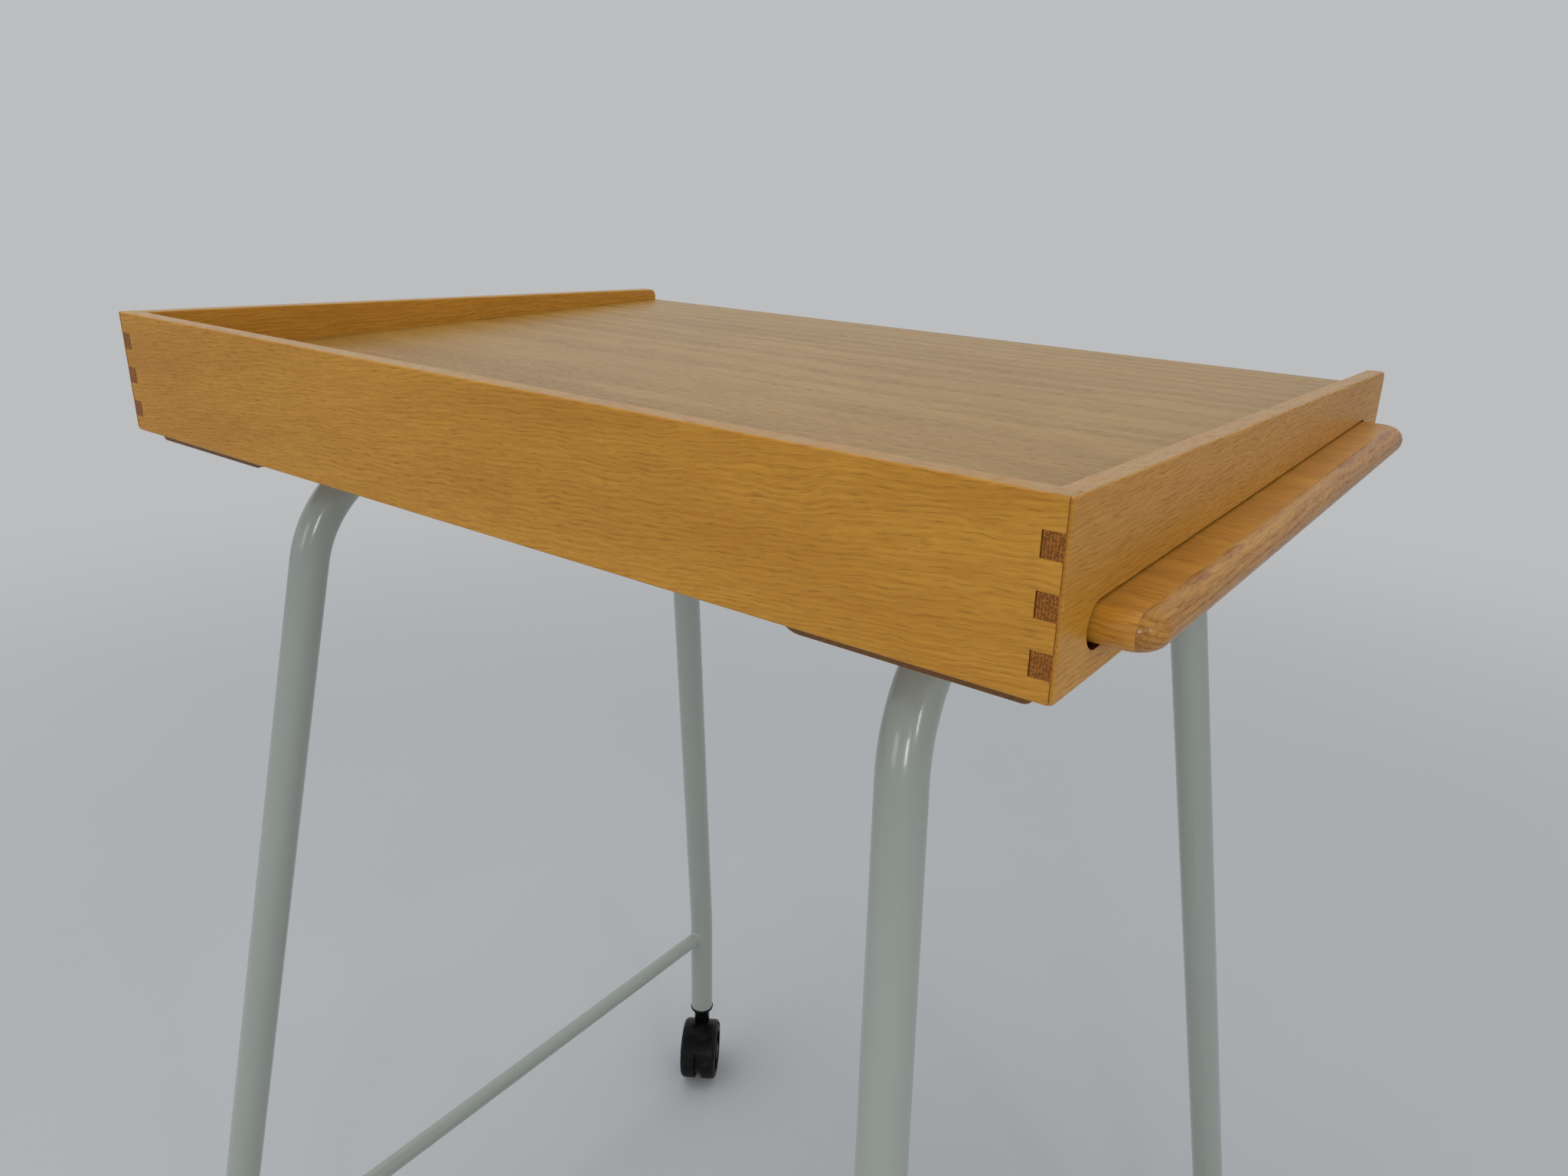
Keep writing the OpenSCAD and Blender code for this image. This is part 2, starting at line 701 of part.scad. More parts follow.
// One wheel: a rounded tread, a ring recess in its outer face and a blind bore for the axle
module caster_wheel(place, side) {
    face = wheels_w / 2;
    recess_from = hub_r + hub_rim;
    recess_to = wheel_r - wheel_edge_r - recess_rim;
    color(black) at_axle(place) rotate([side * 90, 0, 0]) rotate_extrude() difference() {
        intersection() {
            band(0, wheel_r, face, wheel_edge_r);
            translate([0, wheel_from]) square([wheel_r, wheel_w]);
        }
        translate([0, wheel_from - cut]) square([axle_r + running_fit, wheel_w - wheel_skin + cut]);
        translate([recess_from, face - recess_depth]) square([recess_to - recess_from, recess_depth + cut]);
    }
}

worktop();
rear_panel();
left_end_panel();
right_end_panel();
front_rail();
left_cross_board();
right_cross_board();
cross_board_screws();
rear_runner();
front_runner();
travel_stop();
closing_stop();
pullout_panel();
pullout_lip();
tail_stop();
left_leg_frame();
right_leg_frame();
left_stretcher();
right_stretcher();
left_frame_screws();
right_frame_screws();
caster_sleeve(rear_left);  // sleeve_rear_left
caster_stem(rear_left);  // stem_rear_left
caster_hood(rear_left);  // hood_rear_left
caster_axle(rear_left);  // axle_rear_left
caster_wheel(rear_left, 1);  // wheel_a_rear_left
caster_wheel(rear_left, -1);  // wheel_b_rear_left
caster_sleeve(rear_right);  // sleeve_rear_right
caster_stem(rear_right);  // stem_rear_right
caster_hood(rear_right);  // hood_rear_right
caster_axle(rear_right);  // axle_rear_right
caster_wheel(rear_right, 1);  // wheel_a_rear_right
caster_wheel(rear_right, -1);  // wheel_b_rear_right
caster_sleeve(front_left);  // sleeve_front_left
caster_stem(front_left);  // stem_front_left
caster_hood(front_left);  // hood_front_left
caster_axle(front_left);  // axle_front_left
caster_wheel(front_left, 1);  // wheel_a_front_left
caster_wheel(front_left, -1);  // wheel_b_front_left
caster_sleeve(front_right);  // sleeve_front_right
caster_stem(front_right);  // stem_front_right
caster_hood(front_right);  // hood_front_right
caster_axle(front_right);  // axle_front_right
caster_wheel(front_right, 1);  // wheel_a_front_right
caster_wheel(front_right, -1);  // wheel_b_front_right
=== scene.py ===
# Extending drafting table: an oak tray top with a pull-out board, on two bent tube frames with casters.
# Metres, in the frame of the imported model: +X is the pull-out end, +Y the user's side, the floor is z = 0.
import math

import bmesh
import bpy
from mathutils import Matrix, Vector


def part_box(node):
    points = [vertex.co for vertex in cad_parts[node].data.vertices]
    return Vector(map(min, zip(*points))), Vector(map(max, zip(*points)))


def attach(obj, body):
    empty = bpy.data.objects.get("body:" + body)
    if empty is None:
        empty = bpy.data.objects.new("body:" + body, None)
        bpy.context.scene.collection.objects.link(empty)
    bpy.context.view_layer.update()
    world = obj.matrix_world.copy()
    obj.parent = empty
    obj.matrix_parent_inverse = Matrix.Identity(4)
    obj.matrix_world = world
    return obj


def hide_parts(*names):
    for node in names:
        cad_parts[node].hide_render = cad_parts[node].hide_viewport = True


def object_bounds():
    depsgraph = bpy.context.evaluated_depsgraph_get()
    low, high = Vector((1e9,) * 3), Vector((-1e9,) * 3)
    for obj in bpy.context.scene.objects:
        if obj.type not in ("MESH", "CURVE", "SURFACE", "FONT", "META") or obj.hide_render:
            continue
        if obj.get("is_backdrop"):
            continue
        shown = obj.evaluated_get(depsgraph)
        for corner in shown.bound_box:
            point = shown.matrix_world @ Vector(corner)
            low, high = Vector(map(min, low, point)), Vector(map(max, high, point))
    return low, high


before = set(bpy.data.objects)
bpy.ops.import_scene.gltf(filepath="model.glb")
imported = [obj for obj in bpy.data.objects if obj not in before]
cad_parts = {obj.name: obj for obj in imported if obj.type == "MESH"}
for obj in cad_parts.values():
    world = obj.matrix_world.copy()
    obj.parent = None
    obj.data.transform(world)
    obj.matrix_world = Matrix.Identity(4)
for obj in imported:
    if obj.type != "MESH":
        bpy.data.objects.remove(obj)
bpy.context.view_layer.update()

bpy.ops.object.select_all(action="DESELECT")


# Rear panel
# A board of solid oak, lacquered, with its grain along the table. Its pins at each end sit between the
# fingers of the end panels, and a groove along its inner face takes the worktop's tongue.
panel_low, panel_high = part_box("rear_panel")
panel_t = 0.010
middle_x = (panel_low.x + panel_high.x) / 2
worktop_low, worktop_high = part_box("worktop")
finger_h = 0.010
finger_pitch = 0.0215
finger_first = 0.00925
finger_count = 3
edge_round = 0.0011
edge_steps = 3
groove_depth = 0.004
# Places this close count as near or as the same, and an edge longer than this as long
near = 0.001
same = 0.00001
long_edge = 0.1
tongue_inset = 0.003
tongue_low_z = worktop_low.z + tongue_inset
tongue_high_z = worktop_high.z - tongue_inset


def settled():
    """The object that was just added, with its place, turn and size passed on to its mesh."""
    bpy.ops.object.transform_apply(location=True, rotation=True, scale=True)
    return bpy.context.object


def sawn(name, low, high):
    """A block between two opposite corners, as it comes from the saw."""
    low = Vector(low)
    high = Vector(high)
    bpy.ops.mesh.primitive_cube_add(size=1, location=(low + high) / 2)
    bpy.context.object.scale = high - low
    block = settled()
    block.name = name
    block.data.name = name
    return block


def pick(piece):
    """Makes the piece the active object and the only selected one."""
    bpy.ops.object.select_all(action="DESELECT")
    bpy.context.view_layer.objects.active = piece
    piece.select_set(True)


def pick_edges(piece, wanted):
    """Opens the piece for editing with the edges selected whose two ends the test accepts."""
    pick(piece)
    bpy.ops.object.mode_set(mode="EDIT")
    bpy.ops.mesh.select_mode(type="EDGE")
    bpy.ops.mesh.select_all(action="DESELECT")
    mesh = bmesh.from_edit_mesh(piece.data)
    for edge in mesh.edges:
        if wanted(edge.verts[0].co, edge.verts[1].co):
            edge.select_set(True)
    bmesh.update_edit_mesh(piece.data)


def round_edges(piece, width, steps, wanted):
    """Rounds the chosen edges and goes back to object mode."""
    pick_edges(piece, wanted)
    bpy.ops.mesh.bevel(offset=width, segments=steps, profile=0.5, affect="EDGES")
    bpy.ops.object.mode_set(mode="OBJECT")


def combine(piece, other, operation):
    """Works the other shape into the piece and throws the other one away."""
    meet = piece.modifiers.new("meet", "BOOLEAN")
    meet.operation = operation
    meet.solver = "EXACT"
    meet.object = other
    pick(piece)
    bpy.ops.object.modifier_apply(modifier="meet")
    bpy.data.objects.remove(other)


def cut_away(piece, cutter):
    """Takes the cutter's shape out of the piece."""
    combine(piece, cutter, "DIFFERENCE")


def add_shape(piece, extra):
    """Makes the piece and the extra shape one closed solid."""
    combine(piece, extra, "UNION")


def one_piece(name, parts):
    """Joins several meshes into one object."""
    pick(parts[0])
    for part in parts[1:]:
        part.select_set(True)
    bpy.ops.object.join()
    joined = bpy.context.object
    joined.name = name
    joined.data.name = name
    return joined


def mirror_halves(piece):
    """Completes the piece with its mirror image across y = 0, with all its faces outwards."""
    other_half = piece.modifiers.new("other half", "MIRROR")
    other_half.use_axis = (False, True, False)
    other_half.merge_threshold = same
    bpy.ops.object.modifier_apply(modifier="other half")
    bpy.ops.object.mode_set(mode="EDIT")
    bpy.ops.mesh.select_all(action="SELECT")
    bpy.ops.mesh.normals_make_consistent(inside=False)
    bpy.ops.object.mode_set(mode="OBJECT")


def ease_edges(piece, width, angle):
    """Takes the sharpness off every edge that turns by more than the angle."""
    ease = piece.modifiers.new("ease", "BEVEL")
    ease.width = width
    ease.segments = 2
    ease.limit_method = "ANGLE"
    ease.angle_limit = math.radians(angle)
    pick(piece)
    bpy.ops.object.modifier_apply(modifier="ease")


def copied(piece, name, matrix):
    """A copy of the piece, moved by the matrix."""
    copy = bpy.data.objects.new(name, piece.data.copy())
    copy.data.name = name
    bpy.context.scene.collection.objects.link(copy)
    copy.data.transform(matrix)
    return copy


def smooth(piece, angle=35):
    """Shades the piece smooth across shallow edges and keeps its flats flat."""
    pick(piece)
    bpy.ops.object.shade_smooth_by_angle(angle=math.radians(angle))
    even = piece.modifiers.new("even", "WEIGHTED_NORMAL")
    even.keep_sharp = True
    bpy.ops.object.modifier_apply(modifier="even")


def fit(piece, finish, slot, body, *nodes):
    """Gives the finished piece its material and body, and lets it stand for its CAD nodes."""
    piece.data.materials.clear()
    piece.data.materials.append(finish)
    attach(piece, body)
    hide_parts(*nodes)


def node(tree, kind, **settings):
    """One shader node with its settings."""
    made = tree.nodes.new(kind)
    for name, value in settings.items():
        setattr(made, name, value)
    return made


def maths(tree, operation, first, second=None, clamp=False):
    """One math node on sockets or plain numbers."""
    made = node(tree, "ShaderNodeMath", operation=operation, use_clamp=clamp)
    for index, value in enumerate((first, second)):
        if value is None:
            continue
        if isinstance(value, (int, float)):
            made.inputs[index].default_value = value
        else:
            tree.links.new(value, made.inputs[index])
    return made.outputs[0]


def ramp(tree, value, low, high, out_low=0.0, out_high=1.0):
    """A smooth step of the value from one level to another."""
    made = node(tree, "ShaderNodeMapRange", interpolation_type="SMOOTHSTEP")
    tree.links.new(value, made.inputs["Value"])
    made.inputs["From Min"].default_value = low
    made.inputs["From Max"].default_value = high
    made.inputs["To Min"].default_value = out_low
    made.inputs["To Max"].default_value = out_high
    return made.outputs["Result"]


def stretched_noise(tree, place, stretch, detail=2.0, roughness=0.5):
    """Noise whose lumps are stretched along the axes, with the counts per metre in stretch."""
    scaled = node(tree, "ShaderNodeVectorMath", operation="MULTIPLY")
    tree.links.new(place, scaled.inputs[0])
    scaled.inputs[1].default_value = stretch
    noise = node(tree, "ShaderNodeTexNoise", noise_dimensions="3D")
    noise.inputs["Scale"].default_value = 1.0
    noise.inputs["Detail"].default_value = detail
    noise.inputs["Roughness"].default_value = roughness
    tree.links.new(scaled.outputs[0], noise.inputs["Vector"])
    return noise.outputs["Fac"]


def blend(tree, factor, first, second):
    """A colour between two others, each a socket or four numbers."""
    made = node(tree, "ShaderNodeMix", data_type="RGBA")
    for socket, value in ((made.inputs[0], factor), (made.inputs[6], first), (made.inputs[7], second)):
        if hasattr(value, "is_linked"):
            tree.links.new(value, socket)
        else:
            socket.default_value = value
    return made.outputs[2]


def new_finish(name):
    """A new material, with its node tree, its surface node and the node for places on the piece."""
    finish = bpy.data.materials.new(name)
    finish.use_nodes = True
    tree = finish.node_tree
    return finish, tree, tree.nodes["Principled BSDF"], node(tree, "ShaderNodeTexCoord")


def add_relief(tree, surface, height, strength, distance):
    """Fine bumps of a surface, from a height."""
    relief = node(tree, "ShaderNodeBump")
    relief.inputs["Strength"].default_value = strength
    relief.inputs["Distance"].default_value = distance
    tree.links.new(height, relief.inputs["Height"])
    tree.links.new(relief.outputs[0], surface.inputs["Normal"])


def mix_shaders(tree, share, first, second, output):
    """Sends a mix of two shaders to the tree's output node."""
    mixed = node(tree, "ShaderNodeMixShader")
    for source, socket in zip((share, first, second), mixed.inputs):
        tree.links.new(source, socket)
    tree.links.new(mixed.outputs[0], tree.nodes[output].inputs["Surface"])


# Oak with its yearly rings, pores and rays, worked out through the whole board from a place along, across
# and through it. The ring centre lies a given depth below the face and to one side.
oak = bpy.data.node_groups.new("oak figure", "ShaderNodeTree")
tone_names = ("Late wood", "Early wood", "Pores", "End wood")
measure_names = ("Ring width", "Pith depth", "Pith side", "Ring contrast", "Cut across")
oak.interface.new_socket(name="Place", in_out="INPUT", socket_type="NodeSocketVector")
for name in tone_names:
    oak.interface.new_socket(name=name, in_out="INPUT", socket_type="NodeSocketColor")
for name in measure_names:
    oak.interface.new_socket(name=name, in_out="INPUT", socket_type="NodeSocketFloat")
oak.interface.new_socket(name="Color", in_out="OUTPUT", socket_type="NodeSocketColor")
oak.interface.new_socket(name="Roughness", in_out="OUTPUT", socket_type="NodeSocketFloat")
oak.interface.new_socket(name="Height", in_out="OUTPUT", socket_type="NodeSocketFloat")
# How far the grain wanders and ripples sideways, how uneven the rings are, and the pitch of the pore rows
wander_reach = 0.030
ripple_reach = 0.0060
ring_unevenness = 0.006
pore_row_pitch = 0.00125
pore_row_ripple = 0.0022
# How strongly streaks, broad bands, pale flecks, warm patches and pores show in it
streak_share = 0.55
band_share = 0.9
fleck_share = 0.22
warm_share = 0.28
pore_share = 0.36
given = node(oak, "NodeGroupInput")
place = given.outputs["Place"]
wander = maths(oak, "SUBTRACT", stretched_noise(oak, place, (3.0, 9.0, 9.0), 2.0), 0.5)
ripple = maths(oak, "SUBTRACT", stretched_noise(oak, place, (34.0, 40.0, 40.0), 2.0), 0.5)
split = node(oak, "ShaderNodeSeparateXYZ")
oak.links.new(place, split.inputs[0])
bent = maths(oak, "ADD", maths(oak, "MULTIPLY", wander, wander_reach), split.outputs[1])
wavy = maths(oak, "ADD", maths(oak, "MULTIPLY", ripple, ripple_reach), bent)
sideways = maths(oak, "ADD", wavy, given.outputs["Pith side"])
downward = maths(oak, "ADD", split.outputs[2], given.outputs["Pith depth"])
reach = maths(oak, "SQRT", maths(oak, "ADD", maths(oak, "MULTIPLY", sideways, sideways),
                                 maths(oak, "MULTIPLY", downward, downward)))
patchy = maths(oak, "SUBTRACT", stretched_noise(oak, place, (6, 60, 60), 2.0), 0.5)
uneven = maths(oak, "MULTIPLY", patchy, ring_unevenness)
years = maths(oak, "DIVIDE", maths(oak, "ADD", reach, uneven), given.outputs["Ring width"])
part = maths(oak, "FRACT", years)
spring = maths(oak, "MULTIPLY", ramp(oak, part, 0.0, 0.15), ramp(oak, part, 0.75, 0.25))
moved = node(oak, "ShaderNodeCombineXYZ")
oak.links.new(split.outputs[0], moved.inputs[0])
oak.links.new(wavy, moved.inputs[1])
oak.links.new(split.outputs[2], moved.inputs[2])
along = moved.outputs[0]
streaks = stretched_noise(oak, along, (40.0, 680.0, 680.0), 4.0, 0.62)
threads = stretched_noise(oak, along, (120.0, 1500.0, 1500.0), 2.0, 0.5)
broad = stretched_noise(oak, along, (5.0, 34.0, 34.0), 3.0)
flecks = ramp(oak, stretched_noise(oak, along, (90.0, 700.0, 700.0), 1.0), 0.60, 0.74)
dashes = ramp(oak, threads, 0.50, 0.66)
pores = maths(oak, "MULTIPLY", dashes, maths(oak, "ADD", maths(oak, "MULTIPLY", spring, 0.5), 0.5))
shade = maths(oak, "MULTIPLY", spring, given.outputs["Ring contrast"])
shade = maths(oak, "ADD", shade, maths(oak, "MULTIPLY", ramp(oak, streaks, 0.30, 0.70), streak_share))
shade = maths(oak, "ADD", shade, maths(oak, "MULTIPLY", maths(oak, "SUBTRACT", broad, 0.5), band_share))
shade = maths(oak, "SUBTRACT", shade, maths(oak, "MULTIPLY", flecks, fleck_share), clamp=True)
face = blend(oak, shade, given.outputs["Late wood"], given.outputs["Early wood"])
warmth = ramp(oak, stretched_noise(oak, place, (6.0, 22.0, 22.0), 2.0), 0.48, 0.72)
face = blend(oak, maths(oak, "MULTIPLY", warmth, warm_share), face, given.outputs["Early wood"])
face = blend(oak, maths(oak, "MULTIPLY", pores, pore_share), face, given.outputs["Pores"])
# On a cut across the grain the yearly rings show as rows of open pores on darker wood
rippled = maths(oak, "ADD", split.outputs[2], maths(oak, "MULTIPLY", ripple, pore_row_ripple))
rows = maths(oak, "FRACT", maths(oak, "DIVIDE", rippled, pore_row_pitch))
row = maths(oak, "MULTIPLY", ramp(oak, rows, 0.0, 0.35), ramp(oak, rows, 1.0, 0.55))
grid = node(oak, "ShaderNodeVectorMath", operation="MULTIPLY")
oak.links.new(place, grid.inputs[0])
grid.inputs[1].default_value = (40.0, 1050.0, 800.0)
holes = node(oak, "ShaderNodeTexVoronoi", feature="F1")
holes.inputs["Scale"].default_value = 1.0
oak.links.new(grid.outputs[0], holes.inputs["Vector"])
near_hole = maths(oak, "ADD", holes.outputs["Distance"], maths(oak, "MULTIPLY", row, -0.30))
open_pores = ramp(oak, near_hole, 0.46, 0.22)
cloudy = stretched_noise(oak, place, (60.0, 260.0, 260.0), 2.0)
lighter = maths(oak, "MULTIPLY", ramp(oak, cloudy, 0.40, 0.75), 0.5)
end_face = blend(oak, lighter, given.outputs["End wood"], given.outputs["Early wood"])
end_face = blend(oak, open_pores, end_face, given.outputs["Pores"])
both = blend(oak, given.outputs["Cut across"], face, end_face)
dull = maths(oak, "ADD", maths(oak, "MULTIPLY", pores, 0.20), maths(oak, "MULTIPLY", streaks, 0.14))
level = maths(oak, "SUBTRACT", 1.0, maths(oak, "ADD", maths(oak, "MULTIPLY", pores, 0.8),
                                          maths(oak, "MULTIPLY", streaks, 0.35)))
taken = node(oak, "NodeGroupOutput")
oak.links.new(both, taken.inputs["Color"])
oak.links.new(maths(oak, "ADD", dull, 0.30), taken.inputs["Roughness"])
oak.links.new(level, taken.inputs["Height"])


# Pale tone of upper faces, from wear by rubbing and from painted sheen; painted shade inside the slot; and how
# much of the end grain a thin skin shows
rubbed_and_sheen_tone = (0.40, 0.295, 0.165, 1)
slot_painted_shade = (0.095, 0.024, 0.004, 1)
skin_share = 0.35
skin_blur = 0.0001
slot_fade_from = 0.0002
slot_fade_to = 0.001


def oak_finish(name, grain, tones, offset, turn=(0, 0, 0), ring=0.0024, pith=(0.12, 0.05), contrast=0.2,
               coat=0.12, gloss=0.25, bump=0.00006, wear_and_sheen=0.0, skin=None, slotted=False, coat_rough=0.28):
    """Lacquered oak with its grain along one axis of the table, each board from its own place in the tree.

    Faces turned up are paled by a share of wear from rubbing mixed with painted sheen, skin is how far from
    the middle the end grain shows in full, and slotted paints shade inside the pull-out board's slot.
    """
    finish, tree, surface, where = new_finish(name)
    lay = node(tree, "ShaderNodeMapping")
    lay.inputs["Location"].default_value = offset
    lay.inputs["Rotation"].default_value = [math.radians(angle) for angle in turn]
    tree.links.new(where.outputs["Object"], lay.inputs["Vector"])
    figure = node(tree, "ShaderNodeGroup", node_tree=oak)
    tree.links.new(lay.outputs[0], figure.inputs["Place"])
    for socket, tone in zip(tone_names, tones):
        figure.inputs[socket].default_value = (*tone, 1)
    for socket, measure in zip(measure_names, (ring, *pith, contrast)):
        figure.inputs[socket].default_value = measure
    facing = node(tree, "ShaderNodeSeparateXYZ")
    tree.links.new(where.outputs["Normal"], facing.inputs[0])
    across = ramp(tree, maths(tree, "ABSOLUTE", facing.outputs["XYZ".index(grain)]), 0.60, 0.85)
    spot = node(tree, "ShaderNodeSeparateXYZ")
    tree.links.new(where.outputs["Object"], spot.inputs[0])
    if skin is not None:
        out = maths(tree, "ABSOLUTE", maths(tree, "SUBTRACT", spot.outputs[0], middle_x))
        shown = ramp(tree, out, skin - skin_blur, skin + skin_blur, 1.0, skin_share)
        across = maths(tree, "MULTIPLY", across, shown)
    tree.links.new(across, figure.inputs["Cut across"])
    colour = figure.outputs["Color"]
    # Painted sheen and wear: faces turned up are paled in patches, partly as rubbing wears them and partly as
    # light from above would brighten them
    if wear_and_sheen > 0:
        patches = stretched_noise(tree, where.outputs["Object"], (70.0, 70.0, 70.0), 3.0)
        wear_and_sheen_mask = maths(tree, "MULTIPLY", ramp(tree, facing.outputs[2], 0.55, 0.95),
                       ramp(tree, patches, 0.2, 0.8, 0.5 * wear_and_sheen, wear_and_sheen))
        colour = blend(tree, wear_and_sheen_mask, colour, rubbed_and_sheen_tone)
    # Painted shade: inside the slot the faces are darkened where the narrow gap lies in shadow
    if slotted:
        inside = maths(tree, "SUBTRACT", 1.0, ramp(tree, maths(tree, "ABSOLUTE", facing.outputs[0]), 0.5, 0.9))
        for socket, (low, high) in ((spot.outputs[1], slot_y), (spot.outputs[2], slot_z)):
            away = maths(tree, "ABSOLUTE", maths(tree, "SUBTRACT", socket, (low + high) / 2))
            reach = (high - low) / 2
            slot_wall_shade = ramp(tree, away, reach + slot_fade_to, reach + slot_fade_from)
            inside = maths(tree, "MULTIPLY", inside, slot_wall_shade)
        colour = blend(tree, inside, colour, slot_painted_shade)
    tree.links.new(colour, surface.inputs["Base Color"])
    tree.links.new(figure.outputs["Roughness"], surface.inputs["Roughness"])
    add_relief(tree, surface, figure.outputs["Height"], 0.5, bump)
    surface.inputs["Specular IOR Level"].default_value = gloss
    surface.inputs["Coat Weight"].default_value = coat
    surface.inputs["Coat Roughness"].default_value = coat_rough
    return finish


# How pale the upper faces go, from wear by rubbing and from painted sheen
edge_wear_and_sheen = 0.6
# Tones of late wood, early wood, pores and end grain
golden = ((0.58, 0.280, 0.033), (0.41, 0.163, 0.012), (0.17, 0.058, 0.004), (0.32, 0.104, 0.010))
# Seen from behind, the grain runs along X, up the board is across it, and the thickness is depth
rear_oak = oak_finish("oak, rear panel", "X", golden, (0.31, 0.07, -0.02), turn=(90, 0, 5), pith=(0.13, 0.06),
                      wear_and_sheen=edge_wear_and_sheen)


def fingers(low_x, high_x, low_y, high_y):
    """The room that an end panel's fingers take in the corner, one block for each finger."""
    rows = []
    for index in range(finger_count):
        bottom = panel_low.z + finger_first + index * finger_pitch
        rows.append(sawn("finger", (low_x, low_y, bottom), (high_x, high_y, bottom + finger_h)))
    return rows


def wear_corner(piece, corner, inward):
    """Rounds off a lower corner of the tray, as knocks do. inward has the signs of the way into the tray."""
    corner = Vector(corner)
    inward = Vector(inward)
    ends = (corner - inward * wear_spare, corner + inward * wear_reach)
    chip = sawn("chip", [min(pair) for pair in zip(*ends)], [max(pair) for pair in zip(*ends)])
    bpy.ops.mesh.primitive_uv_sphere_add(segments=128, ring_count=64, radius=wear_r,
                                         location=corner + inward * wear_depth)
    cut_away(chip, settled())
    cut_away(piece, chip)


# A ball this big and this deep inside a corner meets the tray's edges 3.5 mm from it
wear_r = 0.0122
wear_depth = 0.008
wear_reach = 0.005
wear_spare = 0.0005
tray_ends = (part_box("left_end_panel")[0].x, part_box("right_end_panel")[1].x)
rear_panel = sawn("rear_panel_board", panel_low, panel_high)
round_edges(rear_panel, edge_round, edge_steps, lambda a, b: max(a.y, b.y) < panel_low.y + panel_t / 2
            or min(a.z, b.z) > panel_high.z - panel_t / 2)
over = 0.004
inner_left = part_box("left_end_panel")[1].x
inner_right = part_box("right_end_panel")[0].x
sockets = fingers(panel_low.x - over, inner_left, panel_low.y - over, panel_high.y + over)
sockets += fingers(inner_right, panel_high.x + over, panel_low.y - over, panel_high.y + over)
cut_away(rear_panel, one_piece("sockets", sockets))
cut_away(rear_panel, sawn("groove", (inner_left, panel_high.y - groove_depth, tongue_low_z),
                          (inner_right, panel_high.y + over, tongue_high_z)))
for end_x, inward_x in zip(tray_ends, (1, -1)):
    wear_corner(rear_panel, (end_x, panel_low.y, panel_low.z), (inward_x, 1, 1))
smooth(rear_panel)
fit(rear_panel, rear_oak, "oak", "table", "rear_panel")


# End panels
# Two boards of solid oak with their grain from the rear to the user's side. Their top edges fall to the front
# and the right one has the pull-out board's slot. Their fingers show at the rear, and a thin skin of each
# covers the rear panel's ends.
board_low, board_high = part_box("pullout_panel")
front_h = 0.055
corner_r = 0.006
slot_ease = 0.0004
slot_end_gap = 0.002
slot_over = 0.0008
slot_under = 0.0026
# The slot's and the board's rounded sides stop just short of a half circle
slot_full = 0.9999
board_full = 0.9995
rail_low_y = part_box("front_rail")[0].y
# The grain runs along Y, up the board is across it, and the thickness is depth
skin_at = (panel_high.x - panel_low.x) / 2
slot_y = (board_low.y - slot_end_gap, board_high.y + slot_end_gap)
slot_z = (board_low.z - slot_under, board_high.z + slot_over)
# The right panel's finish paints shade inside its slot
right_oak = oak_finish("oak, right end panel", "Y", golden, (0.12, 0.02, 0.05), turn=(0, 90, 90),
                       pith=(0.10, -0.11), wear_and_sheen=edge_wear_and_sheen, skin=skin_at, slotted=True)
left_oak = oak_finish("oak, left end panel", "Y", golden, (0.53, 0.05, 0.11), turn=(0, 90, 90),
                      pith=(0.12, 0.10), wear_and_sheen=edge_wear_and_sheen, skin=skin_at)


def end_panel(name, outer_x, inner_x, slotted):
    """One end panel, from its outer face to its inner face."""
    side = 1 if outer_x > inner_x else -1
    blank = sawn(name, (min(outer_x, inner_x), panel_low.y, panel_low.z),
                 (max(outer_x, inner_x), worktop_high.y, panel_high.z))
    for vertex in blank.data.vertices:
        if vertex.co.y > 0 and vertex.co.z > panel_low.z + front_h / 2:
            vertex.co.z = panel_low.z + front_h
    round_edges(blank, corner_r, 8, lambda a, b: min(a.y, b.y) > worktop_high.y - near
                and min(a.z, b.z) > panel_low.z + front_h - near)
    round_edges(blank, edge_round, edge_steps, lambda a, b: abs(a.x - b.x) < near
                or abs(a.z - b.z) < near and (a.y > 0) == (a.z < panel_low.z + front_h / 2))
    low_x = min(outer_x, inner_x) - over
    high_x = max(outer_x, inner_x) + over
    skin_x = panel_high.x if side > 0 else panel_low.x
    waste_x = (inner_x - side * over, skin_x)
    waste = []
    bottom = panel_low.z - over
    for index in range(finger_count + 1):
        finger_low = panel_low.z + finger_first + index * finger_pitch
        top = finger_low if index < finger_count else panel_high.z + over
        waste.append(sawn("waste", (min(waste_x), panel_low.y - over, bottom),
                          (max(waste_x), panel_high.y, top)))
        bottom = finger_low + finger_h
    cut_away(blank, one_piece("waste", waste))
    groove_x = (inner_x - side * over, inner_x + side * groove_depth)
    cut_away(blank, sawn("groove", (min(groove_x), panel_high.y, tongue_low_z),
                         (max(groove_x), rail_low_y, tongue_high_z)))
    if slotted:
        top = board_high.z + slot_over
        bottom = board_low.z - slot_under
        end_r = (top - bottom) / 2
        slot = sawn("slot", (low_x, board_low.y - slot_end_gap, bottom),
                    (high_x, board_high.y + slot_end_gap, top))
        round_edges(slot, end_r * slot_full, 12, lambda a, b: abs(a.x - b.x) > near)
        cut_away(blank, slot)
        round_edges(blank, slot_ease, 2, lambda a, b: abs(a.x - outer_x) < same and abs(b.x - outer_x) < same
                    and min(a.z, b.z) > bottom - same and max(a.z, b.z) < top + same
                    and min(a.y, b.y) > panel_high.y + near)
    wear_corner(blank, (outer_x, panel_low.y, panel_low.z), (-side, 1, 1))
    smooth(blank)
    return blank


right_low, right_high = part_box("right_end_panel")
left_low, left_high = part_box("left_end_panel")
right_panel = end_panel("right_end_board", right_high.x, right_low.x, True)
left_panel = end_panel("left_end_board", left_low.x, left_high.x, False)
fit(right_panel, right_oak, "oak", "table", "right_end_panel")
fit(left_panel, left_oak, "oak", "table", "left_end_panel")


